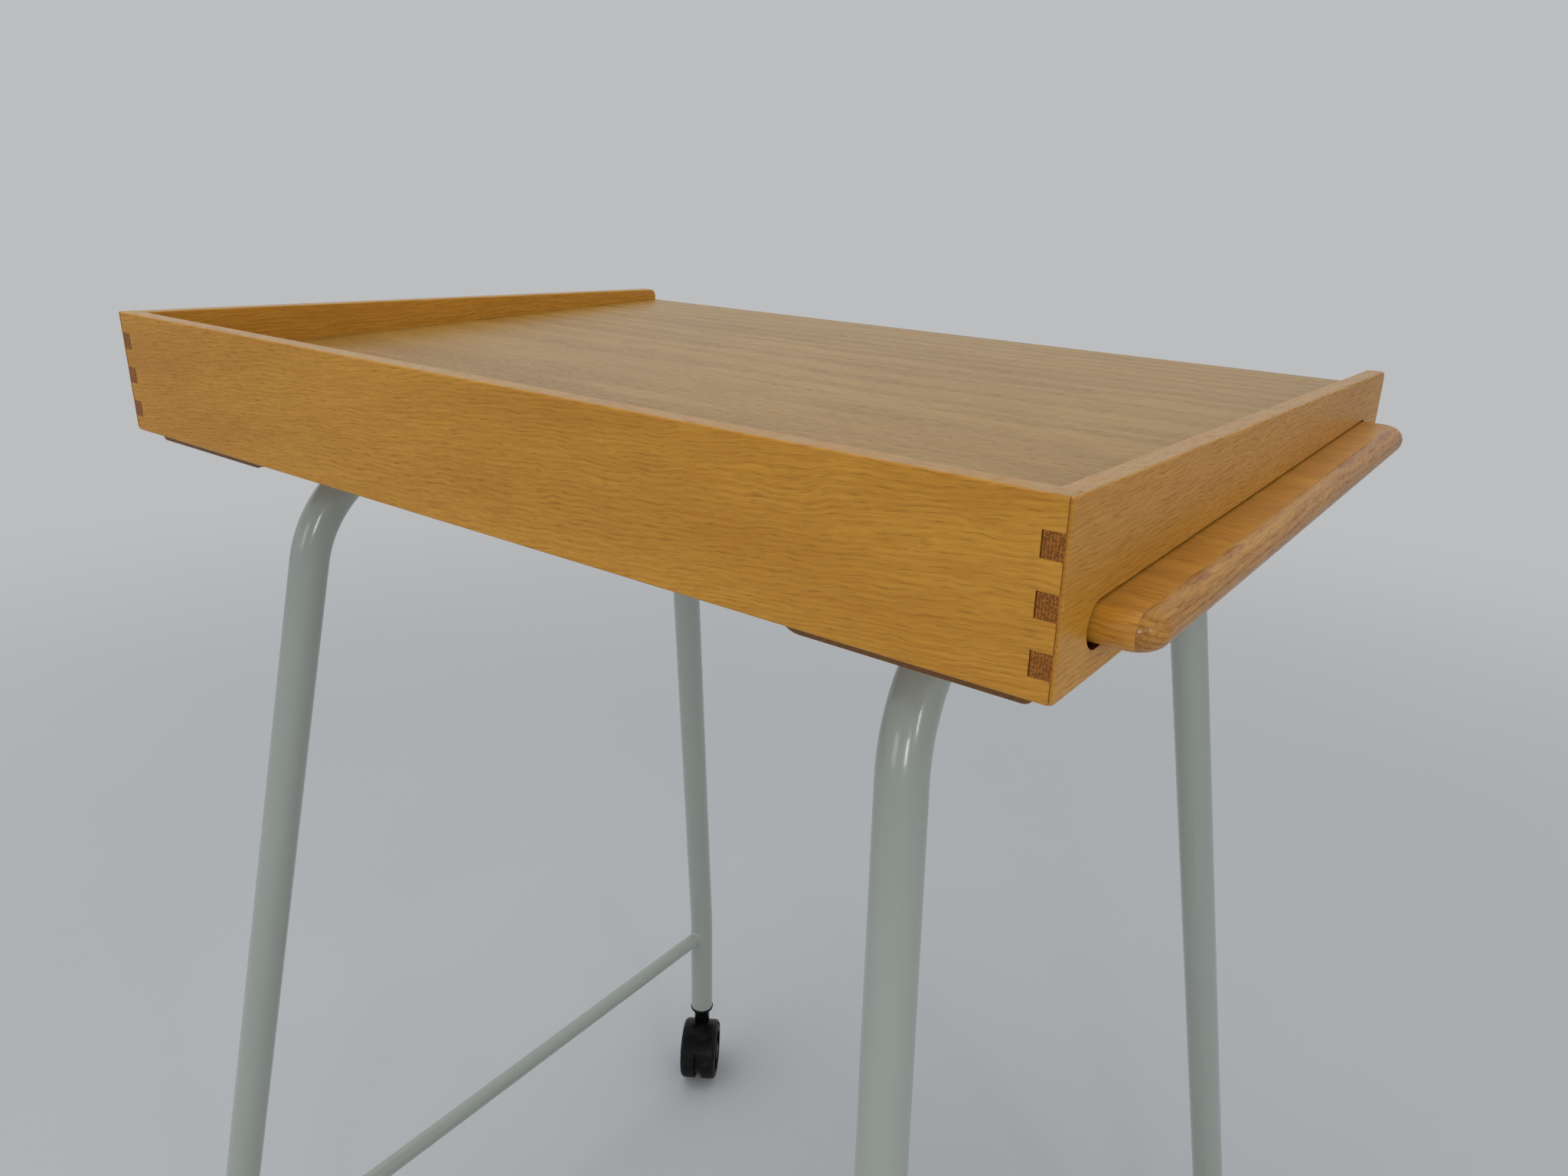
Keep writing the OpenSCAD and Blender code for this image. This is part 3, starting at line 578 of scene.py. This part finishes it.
# Worktop
# A board veneered in oak along the table, with tongues in the grooves of three panels and open at the user's
# side, where its front edge is rounded.
veneer_tones = ((0.43, 0.250, 0.055), (0.29, 0.145, 0.020), (0.15, 0.065, 0.008), (0.20, 0.08, 0.015))
front_round = 0.0016
veneer = oak_finish("oak veneer, worktop", "X", veneer_tones, (0.17, 0.09, 0.0), ring=0.0050,
                    pith=(0.045, 0.02), contrast=0.35, coat=0.20, gloss=0.4, bump=0.00003)
worktop = sawn("worktop_board", (inner_left, panel_high.y, worktop_low.z),
               (inner_right, worktop_high.y, worktop_high.z))
round_edges(worktop, front_round, edge_steps, lambda a, b: min(a.y, b.y) > worktop_high.y - near
            and min(a.z, b.z) > worktop_high.z - near)
tongues = [sawn("rear tongue", (inner_left, panel_high.y - groove_depth, tongue_low_z),
                (inner_right, panel_high.y + over, tongue_high_z)),
           sawn("left tongue", (worktop_low.x, panel_high.y, tongue_low_z),
                (inner_left + over, rail_low_y, tongue_high_z)),
           sawn("right tongue", (inner_right - over, panel_high.y, tongue_low_z),
                (worktop_high.x, rail_low_y, tongue_high_z))]
for tongue in tongues:
    add_shape(worktop, tongue)
smooth(worktop)
fit(worktop, veneer, "oak_top", "table", "worktop")


# Front rail, runners and stops
# The rail closes the tray under the worktop's open edge. The two runners fill the space beside the pull-out
# board and lap over it, and the stops limit its travel. All are plain oak, screwed and glued in the tray.
plain_tones = ((0.43, 0.235, 0.075), (0.33, 0.155, 0.045), (0.18, 0.075, 0.020), (0.14, 0.068, 0.020))
plain_x = oak_finish("plain oak, along", "X", plain_tones, (0.7, 0.2, 0.04), coat=0.0, gloss=0.3, bump=0.0001)
plain_y = oak_finish("plain oak, across", "Y", plain_tones, (0.9, 0.3, 0.06), turn=(0, 0, 90), coat=0.0,
                     gloss=0.3, bump=0.0001)
rail_oak = oak_finish("oak, front rail", "X", golden, (0.45, 0.13, 0.0), turn=(90, 0, 0), pith=(0.11, 0.02))
front_rail = sawn("front_rail_board", *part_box("front_rail"))
round_edges(front_rail, edge_round, edge_steps,
            lambda a, b: abs(a.x - b.x) > long_edge and a.z < worktop_low.z - near)
smooth(front_rail)
fit(front_rail, rail_oak, "oak", "table", "front_rail")


def dress(name, finish):
    """Gives a CAD node its material."""
    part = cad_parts[name]
    part.data.materials.clear()
    part.data.materials.append(finish)


for name in ("rear_runner", "front_runner"):
    dress(name, plain_x)
for name in ("travel_stop", "closing_stop", "tail_stop"):
    dress(name, plain_y)


# Cross boards
# Two oak boards under the tray, let in between its panels and screwed up into the runners. They carry the
# leg frames and the pull-out board. Their long lower edges are rounded, the one towards -X and the one towards
# +X as given here.
cross_rounds = {"left_cross_board": (0.005, 0.005), "right_cross_board": (0.013, 0.005)}
screw_edge = 0.018
screw_len = 0.0299
screw_shank_r = 0.002
screw_head_r = 0.004
screw_clear = 0.0001
screw_hole_depth = 0.019
screw_hole_start = 0.00002
recess_depth = 0.0012
recess_reach = 0.0021
recess_half = 0.00045
rear_screw_y = -0.22205
front_screw_y = 0.21505
steel, tree, surface, where = new_finish("zinc plated steel")
surface.inputs["Metallic"].default_value = 1.0
mottle = stretched_noise(tree, where.outputs["Object"], (260.0, 260.0, 260.0), 3.0, 0.6)
tree.links.new(blend(tree, mottle, (0.42, 0.42, 0.41, 1), (0.66, 0.66, 0.64, 1)), surface.inputs["Base Color"])
tree.links.new(ramp(tree, mottle, 0.2, 0.8, 0.28, 0.46), surface.inputs["Roughness"])


def screw_spots(low, high):
    """The four places of the screws through one cross board."""
    return [(x, y) for x in (low.x + screw_edge, high.x - screw_edge) for y in (rear_screw_y, front_screw_y)]


def countersunk(x, y, face_z, length, grow):
    """A countersunk screw or its hole, point up, with its head level with the board's lower face."""
    drop = screw_head_r - screw_shank_r
    bpy.ops.mesh.primitive_cone_add(vertices=32, radius1=screw_head_r + grow, radius2=screw_shank_r + grow,
                                    depth=drop, location=(x, y, face_z + drop / 2))
    head = settled()
    pick_edges(head, lambda a, b: min(a.z, b.z) > face_z + drop / 2)
    bpy.ops.mesh.extrude_region_move(TRANSFORM_OT_translate={"value": (0, 0, length - drop)})
    bpy.ops.object.mode_set(mode="OBJECT")
    return head


def cross_recess(x, y, face_z):
    """The two arms of the cross-shaped recess in a screw head."""
    arms = ((recess_reach, recess_half), (recess_half, recess_reach))
    return [sawn("arm", (x - half_x, y - half_y, face_z - recess_depth),
                 (x + half_x, y + half_y, face_z + recess_depth)) for half_x, half_y in arms]


board_screws = []
for name in ("left_cross_board", "right_cross_board"):
    low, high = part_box(name)
    cross = sawn(name + "_shaped", low, high)
    for edge_x, width in zip((low.x, high.x), cross_rounds[name]):
        round_edges(cross, width, 8, lambda a, b: abs(a.y - b.y) > long_edge and a.z < low.z + near
                    and abs(a.x - edge_x) < near)
    holes = [countersunk(x, y, low.z - screw_hole_start, screw_hole_depth, screw_clear)
             for x, y in screw_spots(low, high)]
    cut_away(cross, one_piece("holes", holes))
    smooth(cross)
    fit(cross, plain_y, "oak_under", "table", name)
    for x, y in screw_spots(low, high):
        screw = countersunk(x, y, low.z, screw_len, 0.0)
        for arm in cross_recess(x, y, low.z):
            cut_away(screw, arm)
        board_screws.append(screw)
board_screws = one_piece("cross_board_screw_set", board_screws)
smooth(board_screws)
fit(board_screws, steel, "steel", "table", "cross_board_screws")


# Pull-out board
# An oak board with fully rounded sides that slides out of the right end panel, with a solid lip glued across
# its outer end, whose corners are rounded in plan.
lip_low, lip_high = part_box("pullout_lip")
plan_r = 0.014
board_r = (board_high.z - board_low.z) / 2
panel_tones = ((0.60, 0.280, 0.030), (0.42, 0.163, 0.012), (0.16, 0.055, 0.004), (0.30, 0.110, 0.016))
lip_tones = ((0.54, 0.272, 0.048), (0.31, 0.108, 0.011), (0.10, 0.032, 0.005), (0.36, 0.130, 0.018))
pullout_oak = oak_finish("oak, pull-out board", "X", panel_tones, (0.21, 0.02, 0.0), pith=(0.07, 0.0),
                         coat=0.3)
lip_oak = oak_finish("oak, lip", "Y", lip_tones, (0.33, 0.05, 0.02), turn=(0, 0, 90), pith=(0.09, 0.02),
                     contrast=0.35, coat=0.35, gloss=0.25, bump=0.00025, skin=skin_at, coat_rough=0.14)


def pullout(name, keep_outer):
    """The board with its rounded edges, cut at the lip's joint, with one side of the cut kept."""
    shape = sawn(name, board_low, (lip_high.x, board_high.y, board_high.z))
    round_edges(shape, plan_r, 14, lambda a, b: abs(a.z - b.z) > near and min(a.x, b.x) > lip_high.x - near)
    round_edges(shape, board_r * board_full, 10,
                lambda a, b: abs(a.z - b.z) < near and max(a.x, b.x) > board_low.x + near)
    bpy.context.view_layer.objects.active = shape
    bpy.ops.object.mode_set(mode="EDIT")
    bpy.ops.mesh.select_all(action="SELECT")
    bpy.ops.mesh.bisect(plane_co=(lip_low.x, 0, 0), plane_no=(1, 0, 0), use_fill=True,
                        clear_inner=keep_outer, clear_outer=not keep_outer)
    bpy.ops.object.mode_set(mode="OBJECT")
    smooth(shape)
    return shape


fit(pullout("pullout_panel_board", False), pullout_oak, "oak", "pullout_board", "pullout_panel")
fit(pullout("pullout_lip_board", True), lip_oak, "oak", "pullout_board", "pullout_lip")


# Leg frames
# Each frame is one steel tube, bent at the top corners and again at the ankles, enamelled grey-green. The
# top bar is screwed up into its cross board, and the tube's open ends hold the casters.
bar_x = 0.224
bar_z = 0.8608
corner_y = 0.173
foot_x = 0.298
foot_y = 0.288
ankle_z = 0.208
bend_r = 0.080
ankle_r = 0.060
tube_r = 0.0125
tube_wall = 0.0015
tube_sides = 48
open_h = 0.06
foot_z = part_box("left_leg_frame")[0].z
enamel, tree, surface, where = new_finish("grey-green enamel")
cloud = stretched_noise(tree, where.outputs["Object"], (9.0, 9.0, 9.0), 2.0)
peel = stretched_noise(tree, where.outputs["Object"], (420.0, 420.0, 420.0), 1.0)
specks = ramp(tree, stretched_noise(tree, where.outputs["Object"], (170.0, 170.0, 170.0), 2.0), 0.80, 0.83)
paint = blend(tree, cloud, (0.322, 0.356, 0.322, 1), (0.348, 0.381, 0.346, 1))
paint = blend(tree, maths(tree, "MULTIPLY", specks, 0.6), paint, (0.12, 0.11, 0.09, 1))
tree.links.new(paint, surface.inputs["Base Color"])
tree.links.new(ramp(tree, peel, 0.3, 0.7, 0.20, 0.27), surface.inputs["Roughness"])
add_relief(tree, surface, peel, 0.25, 0.00008)
surface.inputs["Coat Weight"].default_value = 0.5
surface.inputs["Coat Roughness"].default_value = 0.06

down = Vector((foot_x - bar_x, foot_y - corner_y, ankle_z - bar_z))
leg_way = down.normalized()
bend_angle = math.acos(leg_way.y)
lean = math.acos(-leg_way.z)
bend_tangent = bend_r * math.tan(bend_angle / 2)
ankle_tangent = ankle_r * math.tan(lean / 2)
bar_half = corner_y - bend_tangent
leg_len = down.length - bend_tangent - ankle_tangent
corner = Vector((middle_x + bar_x, corner_y, bar_z))
# Upper bend: its centre lies below the bar's end, in the plane of the bar and the leg
in_plane = (leg_way - Vector((0, 1, 0)) * leg_way.y).normalized()
bend_centre = Vector((middle_x + bar_x, bar_half, bar_z)) + in_plane * bend_r
bend_axis = Vector((0, 1, 0)).cross(in_plane)
# Ankle bend: the leg turns upright round a centre on the side towards the vertical
ankle_point = corner + leg_way * (bend_tangent + leg_len)
towards = (Vector((0, 0, -1)) + leg_way * leg_way.z).normalized()
ankle_centre = ankle_point + towards * ankle_r
ankle_axis = leg_way.cross(towards)

bpy.ops.mesh.primitive_circle_add(vertices=tube_sides, radius=tube_r, location=(middle_x + bar_x, 0, bar_z),
                                  rotation=(math.pi / 2, 0, 0))
leg_tube = settled()
bpy.ops.object.mode_set(mode="EDIT")
bpy.ops.mesh.select_mode(type="EDGE")
bpy.ops.mesh.select_all(action="SELECT")
bpy.ops.mesh.extrude_region_move(TRANSFORM_OT_translate={"value": (0, bar_half, 0)})
bpy.ops.mesh.spin(steps=18, angle=-bend_angle, center=bend_centre, axis=bend_axis)
bpy.ops.mesh.extrude_region_move(TRANSFORM_OT_translate={"value": leg_way * leg_len})
bpy.ops.mesh.spin(steps=6, angle=-lean, center=ankle_centre, axis=ankle_axis)
bpy.ops.mesh.extrude_region_move(TRANSFORM_OT_translate={"value": (0, 0, foot_z - (ankle_z - ankle_tangent))})
bpy.ops.mesh.edge_face_add()
bpy.ops.mesh.select_mode(type="FACE")
bpy.ops.mesh.inset(thickness=tube_wall)
bpy.ops.mesh.extrude_region_move(TRANSFORM_OT_translate={"value": (0, 0, open_h)})
bpy.ops.object.mode_set(mode="OBJECT")
mirror_halves(leg_tube)


def turned_over(piece, name):
    """A copy of the piece for the table's other end, mirrored about its middle."""
    copy = copied(piece, name, Matrix.Translation((2 * middle_x, 0, 0)) @ Matrix.Scale(-1, 4, (1, 0, 0)))
    copy.data.flip_normals()
    return copy


left_tube = turned_over(leg_tube, "left_leg_tube")
leg_tube.name = "right_leg_tube"
smooth(leg_tube, 40)
smooth(left_tube, 40)
fit(leg_tube, enamel, "enamel", "table", "right_leg_frame")
fit(left_tube, enamel, "enamel", "table", "left_leg_frame")


# Stretchers
# A thinner tube welded between the legs of each frame, just under the ankles, with a small fillet of weld
# round each end, enamelled with the frame.
stretcher_r = 0.0075
stretcher_low, stretcher_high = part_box("right_stretcher")
stretcher_z = (stretcher_low.z + stretcher_high.z) / 2
# The weld's rings: how far each stands off the leg tube, and how much wider it is than the stretcher
weld_rings = ((0.0045, 0.0), (0.0022, 0.0003), (0.0009, 0.0010), (-0.0004, 0.0024))
bpy.ops.mesh.primitive_circle_add(vertices=tube_sides, radius=stretcher_r,
                                  location=(middle_x + foot_x, 0, stretcher_z), rotation=(math.pi / 2, 0, 0))
stretcher = settled()
bpy.ops.object.mode_set(mode="EDIT")
bpy.ops.mesh.select_mode(type="VERT")
bpy.ops.mesh.select_all(action="SELECT")
for stand_off, wider in weld_rings:
    bpy.ops.mesh.extrude_region_move(TRANSFORM_OT_translate={"value": (0, near, 0)})
    mesh = bmesh.from_edit_mesh(stretcher.data)
    for vertex in mesh.verts:
        if vertex.select:
            out = Vector((vertex.co.x - middle_x - foot_x, 0, vertex.co.z - stretcher_z)).normalized()
            out *= stretcher_r + wider
            vertex.co.x = middle_x + foot_x + out.x
            vertex.co.z = stretcher_z + out.z
            vertex.co.y = foot_y - math.sqrt(tube_r ** 2 - out.x ** 2) - stand_off
    bmesh.update_edit_mesh(stretcher.data)
bpy.ops.mesh.edge_face_add()
bpy.ops.object.mode_set(mode="OBJECT")
mirror_halves(stretcher)
left_stretcher = turned_over(stretcher, "left_stretcher_tube")
stretcher.name = "right_stretcher_tube"
smooth(stretcher, 60)
smooth(left_stretcher, 60)
fit(stretcher, enamel, "enamel", "table", "right_stretcher")
fit(left_stretcher, enamel, "enamel", "table", "left_stretcher")


# Frame screws
# Three round-headed screws go up through each top bar into the cross board, with slotted heads.
head_h = 0.0035
head_round = 0.0016
shank_r = 0.0025
slot_half = 0.0006
slot_depth = 0.0014
for name in ("left_frame_screws", "right_frame_screws"):
    low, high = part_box(name)
    middle = (low.x + high.x) / 2
    head_r = (high.x - low.x) / 2
    heads = []
    for y in (low.y + head_r, 0.0, high.y - head_r):
        bpy.ops.mesh.primitive_cylinder_add(vertices=32, radius=head_r, depth=head_h,
                                            location=(middle, y, low.z + head_h / 2))
        head = settled()
        round_edges(head, head_round, 4, lambda a, b: max(a.z, b.z) < low.z + head_h / 2)
        cut_away(head, sawn("slot", (middle - head_r, y - slot_half, low.z - near),
                            (middle + head_r, y + slot_half, low.z + slot_depth)))
        bpy.ops.mesh.primitive_cylinder_add(vertices=24, radius=shank_r, depth=high.z - low.z - head_h,
                                            location=(middle, y, (high.z + low.z + head_h) / 2))
        heads += [head, settled()]
    screws = one_piece(name + "_set", heads)
    smooth(screws)
    fit(screws, steel, "steel", "table", name)


# Casters
# Twin-wheel casters of black plastic. A sleeve is pressed into each tube end, a steel stem turns in it, and a
# hood with a web between the wheels carries the axle. The wheels spin on the axle, one each side of the web.
wheel_r = 0.032
trail = 0.016
wheels_w = 0.041
web_t = 0.007
wheel_gap = 0.0006
wheel_from = web_t / 2 + wheel_gap
wheel_edge = 0.005
hood_gap = 0.0012
hood_t = 0.0028
hood_in = wheel_r + hood_gap
hood_r = hood_in + hood_t
hood_half = wheels_w / 2
hood_from = 32
hood_to = 190
web_lift = 0.005
web_lap = 0.001
neck_r = 0.0088
neck_lap = 0.0005
neck_gap = 0.0003
rim_over = 0.0007
rim_r = tube_r + rim_over
rim_t = 0.0025
taper_h = 0.007
neck_top = foot_z - rim_t - taper_h - neck_gap
stem_hole_r = 0.00505
axle_hole_r = 0.00305
hood_ease = 0.0006
hood_ease_from = 38
# Each foot's side along X and along Y, and its caster's turn
turns = {"rear_left": (-1, -1, 60), "rear_right": (1, -1, 123),
         "front_left": (-1, 1, -57), "front_right": (1, 1, -120)}

plastic, tree, surface, where = new_finish("black plastic")
grime = stretched_noise(tree, where.outputs["Object"], (60.0, 60.0, 60.0), 3.0, 0.6)
grit = stretched_noise(tree, where.outputs["Object"], (900.0, 900.0, 900.0), 1.0)
tree.links.new(blend(tree, ramp(tree, grime, 0.45, 0.8), (0.003, 0.003, 0.0035, 1), (0.009, 0.009, 0.009, 1)),
               surface.inputs["Base Color"])
tree.links.new(ramp(tree, grime, 0.3, 0.75, 0.22, 0.38), surface.inputs["Roughness"])
surface.inputs["Specular IOR Level"].default_value = 0.16
add_relief(tree, surface, grit, 0.2, 0.00004)

tread, tree, surface, where = new_finish("worn tread")
grime = stretched_noise(tree, where.outputs["Object"], (120.0, 120.0, 120.0), 3.0, 0.65)
tree.links.new(blend(tree, ramp(tree, grime, 0.4, 0.75), (0.004, 0.004, 0.0045, 1), (0.016, 0.015, 0.014, 1)),
               surface.inputs["Base Color"])
tree.links.new(ramp(tree, grime, 0.3, 0.75, 0.36, 0.58), surface.inputs["Roughness"])
surface.inputs["Specular IOR Level"].default_value = 0.14


def axle_cylinder(name, radius, half_width, rim, sides=96):
    """A cylinder on the axle with rounded rims."""
    bpy.ops.mesh.primitive_cylinder_add(vertices=sides, radius=radius, depth=2 * half_width,
                                        location=(trail, 0, wheel_r), rotation=(math.pi / 2, 0, 0))
    drum = settled()
    drum.name = name
    if rim > 0:
        round_edges(drum, rim, 8, lambda a, b: abs(a.y - b.y) < same)
    return drum


def keep_sector(piece):
    """Keeps what lies between the hood's two ends, turning from the trailing side up and over."""
    pick(piece)
    bpy.ops.object.mode_set(mode="EDIT")
    for angle, flip in ((hood_from, 1), (hood_to, -1)):
        normal = Vector((-math.sin(math.radians(angle)), 0, math.cos(math.radians(angle)))) * flip
        bpy.ops.mesh.select_all(action="SELECT")
        bpy.ops.mesh.bisect(plane_co=(trail, 0, wheel_r), plane_no=normal, use_fill=True, clear_inner=True)
    bpy.ops.object.mode_set(mode="OBJECT")


def upright(name, radius, low_z, high_z, sides=64):
    """A cylinder on the swivel axis."""
    bpy.ops.mesh.primitive_cylinder_add(vertices=sides, radius=radius, depth=high_z - low_z,
                                        location=(0, 0, (low_z + high_z) / 2))
    drum = settled()
    drum.name = name
    return drum


hood = axle_cylinder("hood", hood_r, hood_half, wheel_edge)
cut_away(hood, axle_cylinder("inside", hood_in, hood_half + over, 0))
keep_sector(hood)
web = axle_cylinder("web", hood_in + web_lap, web_t / 2, 0)
keep_sector(web)
neck = upright("neck", neck_r, wheel_r, neck_top)
cut_away(neck, axle_cylinder("wheel room", hood_in + neck_lap, 2 * neck_r, 0))
add_shape(hood, web)
add_shape(hood, neck)
add_shape(hood, axle_cylinder("disc", wheel_r - web_lift, web_t / 2, 0, 64))
cut_away(hood, upright("stem hole", stem_hole_r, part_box("stem_rear_left")[0].z, neck_top + over))
ease_edges(hood, hood_ease, hood_ease_from)

# Wheel on the +Y side, with a ring recess in its outer face, a bore that a cap closes and a fine seam round
# its tread. Each cutter reaches well past what it cuts.
ring_rim = 0.003
ring_depth = 0.003
ring_hub_r = 0.010
cap_t = 0.0035
seam_half = 0.0002
seam_depth = 0.0003
wheel_ease = 0.0005
wheel_ease_from = 45
past = 0.01
far_past = 0.1
outer_y = wheels_w / 2
wheel_half = (outer_y - wheel_from) / 2
wheel = axle_cylinder("wheel", wheel_r, outer_y, wheel_edge)
cut_away(wheel, sawn("inner side", (trail - far_past, -far_past, wheel_r - far_past),
                     (trail + far_past, wheel_from, wheel_r + far_past)))
ring = axle_cylinder("ring", wheel_r - wheel_edge - ring_rim, past, 0)
cut_away(ring, axle_cylinder("hub", ring_hub_r, 2 * past, 0, 64))
ring.data.transform(Matrix.Translation((0, outer_y + past - ring_depth, 0)))
cut_away(wheel, ring)
cut_away(wheel, axle_cylinder("bore", axle_hole_r, outer_y - cap_t, 0, 48))
seam = axle_cylinder("seam", wheel_r + near, seam_half, 0)
cut_away(seam, axle_cylinder("core", wheel_r - seam_depth, past, 0))
seam.data.transform(Matrix.Translation((0, wheel_from + wheel_half, 0)))
cut_away(wheel, seam)
ease_edges(wheel, wheel_ease, wheel_ease_from)

# Sleeve: a taper from the neck, a rim under the tube's end and a plug inside it, with a bore for the stem
rim_round = 0.0006
plug_clear = 0.00005
plug_h = 0.030
bore_up = 0.04
bore_down = 0.02
bpy.ops.mesh.primitive_cone_add(vertices=64, radius1=neck_r, radius2=rim_r, depth=taper_h,
                                location=(0, 0, foot_z - rim_t - taper_h / 2))
sleeve = settled()
pick_edges(sleeve, lambda a, b: min(a.z, b.z) > foot_z - rim_t - near)
bpy.ops.mesh.extrude_region_move(TRANSFORM_OT_translate={"value": (0, 0, rim_t)})
bpy.ops.object.mode_set(mode="OBJECT")
round_edges(sleeve, rim_round, edge_steps, lambda a, b: abs(a.z - b.z) < same)
add_shape(sleeve, upright("plug", tube_r - tube_wall - plug_clear, foot_z - near, foot_z + plug_h))
cut_away(sleeve, upright("bore", stem_hole_r, foot_z - bore_down, foot_z + bore_up))


def placed(model, name, matrix, finish, body, node_name):
    """A copy of a caster's piece at its foot."""
    copy = copied(model, name, matrix)
    smooth(copy, 32)
    fit(copy, finish, "black_plastic", body, node_name)


half_turn = Matrix.Rotation(math.pi, 4, "Z")
other_wheel = Matrix.Translation((trail, 0, 0)) @ half_turn @ Matrix.Translation((-trail, 0, 0))
for corner_name, (side_x, side_y, turn) in turns.items():
    foot = Matrix.Translation((middle_x + side_x * foot_x, side_y * foot_y, 0))
    foot = foot @ Matrix.Rotation(math.radians(turn), 4, "Z")
    placed(sleeve, "sleeve_moulding_" + corner_name, foot, plastic, "table", "sleeve_" + corner_name)
    placed(hood, "hood_moulding_" + corner_name, foot, plastic, "caster_" + corner_name, "hood_" + corner_name)
    placed(wheel, "wheel_b_moulding_" + corner_name, foot, tread, "wheel_b_body_" + corner_name,
           "wheel_b_" + corner_name)
    placed(wheel, "wheel_a_moulding_" + corner_name, foot @ other_wheel, tread, "wheel_a_body_" + corner_name,
           "wheel_a_" + corner_name)
    dress("stem_" + corner_name, steel)
    dress("axle_" + corner_name, steel)
for model in (sleeve, hood, wheel):
    bpy.data.objects.remove(model)


# Room
# A plain pale floor that fades into a plain backdrop, under soft light from above and both sides, and from two
# windows and a doorway that the enamel mirrors. The camera stands where the photograph was taken.
backdrop = (0.50, 0.51, 0.52, 1)
fade_from = 0.9
fade_to = 3.4
pale, tree, surface, where = new_finish("pale floor")
cloud = stretched_noise(tree, where.outputs["Object"], (1.4, 1.4, 1.4), 3.0)
floor_tone = blend(tree, cloud, (0.50, 0.515, 0.535, 1), (0.54, 0.555, 0.575, 1))
tree.links.new(floor_tone, surface.inputs["Base Color"])
surface.inputs["Roughness"].default_value = 0.7
surface.inputs["Specular IOR Level"].default_value = 0.2
far = node(tree, "ShaderNodeVectorMath", operation="LENGTH")
tree.links.new(where.outputs["Object"], far.inputs[0])
rays = node(tree, "ShaderNodeLightPath")
faded = node(tree, "ShaderNodeEmission")
faded.inputs["Color"].default_value = backdrop
distant = ramp(tree, far.outputs["Value"], fade_from, fade_to)
distant = maths(tree, "MULTIPLY", distant, rays.outputs["Is Camera Ray"])
mix_shaders(tree, distant, surface.outputs[0], faded.outputs[0], "Material Output")
bpy.ops.mesh.primitive_plane_add(size=60, location=(0, 0, 0))
floor = bpy.context.object
floor.name = "floor"
floor.data.materials.append(pale)
floor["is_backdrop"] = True

world = bpy.data.worlds.new("room")
bpy.context.scene.world = world
world.use_nodes = True
tree = world.node_tree
background = tree.nodes["Background"]
where = node(tree, "ShaderNodeTexCoord")
up = node(tree, "ShaderNodeSeparateXYZ")
tree.links.new(where.outputs["Generated"], up.inputs[0])
# The walls are brightest on the left of the camera and above
lit_side = maths(tree, "SUBTRACT", maths(tree, "MULTIPLY", up.outputs[2], 0.6),
                 maths(tree, "MULTIPLY", up.outputs[0], 0.35))
tree.links.new(blend(tree, ramp(tree, lit_side, -0.9, 0.9), (0.30, 0.31, 0.32, 1), (0.86, 0.88, 0.90, 1)),
               background.inputs["Color"])
background.inputs["Strength"].default_value = 0.75
shown = node(tree, "ShaderNodeBackground")
shown.inputs["Color"].default_value = backdrop
shown.inputs["Strength"].default_value = 1.0
rays = node(tree, "ShaderNodeLightPath")
mix_shaders(tree, rays.outputs["Is Camera Ray"], background.outputs[0], shown.outputs[0], "World Output")


def soft_lamp(name, place, aim, wide, tall, power, tint, mirrored):
    """A soft box that faces a point, with or without its own reflection."""
    light = bpy.data.lights.new(name, "AREA")
    light.shape = "RECTANGLE"
    light.size = wide
    light.size_y = tall
    light.energy = power
    light.color = tint
    lamp = bpy.data.objects.new(name, light)
    bpy.context.scene.collection.objects.link(lamp)
    lamp.location = place
    lamp.rotation_euler = (Vector(aim) - Vector(place)).to_track_quat("-Z", "Y").to_euler()
    lamp.visible_glossy = mirrored


soft_lamp("ceiling", (-0.6, -0.6, 3.4), (0, 0, 0.8), 2.4, 2.4, 25, (1.0, 0.98, 0.95), False)
soft_lamp("left wall", (-1.8, -2.6, 1.6), (0, 0, 0.7), 1.6, 1.6, 5, (0.97, 0.99, 1.0), False)
soft_lamp("right wall", (2.7, -0.5, 1.7), (0, 0, 0.9), 1.6, 1.6, 8, (1.0, 0.99, 0.97), False)
soft_lamp("near window", (2.0, -2.5, 1.5), (0, 0, 0.8), 0.5, 0.7, 10, (1.0, 1.0, 1.0), True)
soft_lamp("far window", (2.8, -1.25, 1.85), (0, 0, 0.8), 0.35, 0.6, 6, (1.0, 1.0, 1.0), True)
soft_lamp("doorway", (-0.37, -3.07, 1.5), (0, 0, 0.8), 0.9, 0.9, 5, (1.0, 1.0, 1.0), True)

camera_place = (middle_x + 0.46134, -0.58454, 1.05561)
camera_turn = 36.657
camera_down = 20.353
camera_roll = 1.289
view = bpy.data.cameras.new("camera")
view.sensor_width = 36.0
view.lens = 26.805
view.clip_start = 0.02
camera = bpy.data.objects.new("camera", view)
bpy.context.scene.collection.objects.link(camera)
camera.matrix_world = (Matrix.Translation(camera_place)
                       @ Matrix.Rotation(math.radians(camera_turn), 4, "Z")
                       @ Matrix.Rotation(math.radians(90 - camera_down), 4, "X")
                       @ Matrix.Rotation(math.radians(camera_roll), 4, "Z"))
bpy.context.scene.camera = camera
bpy.context.scene.view_settings.view_transform = "Standard"

low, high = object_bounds()
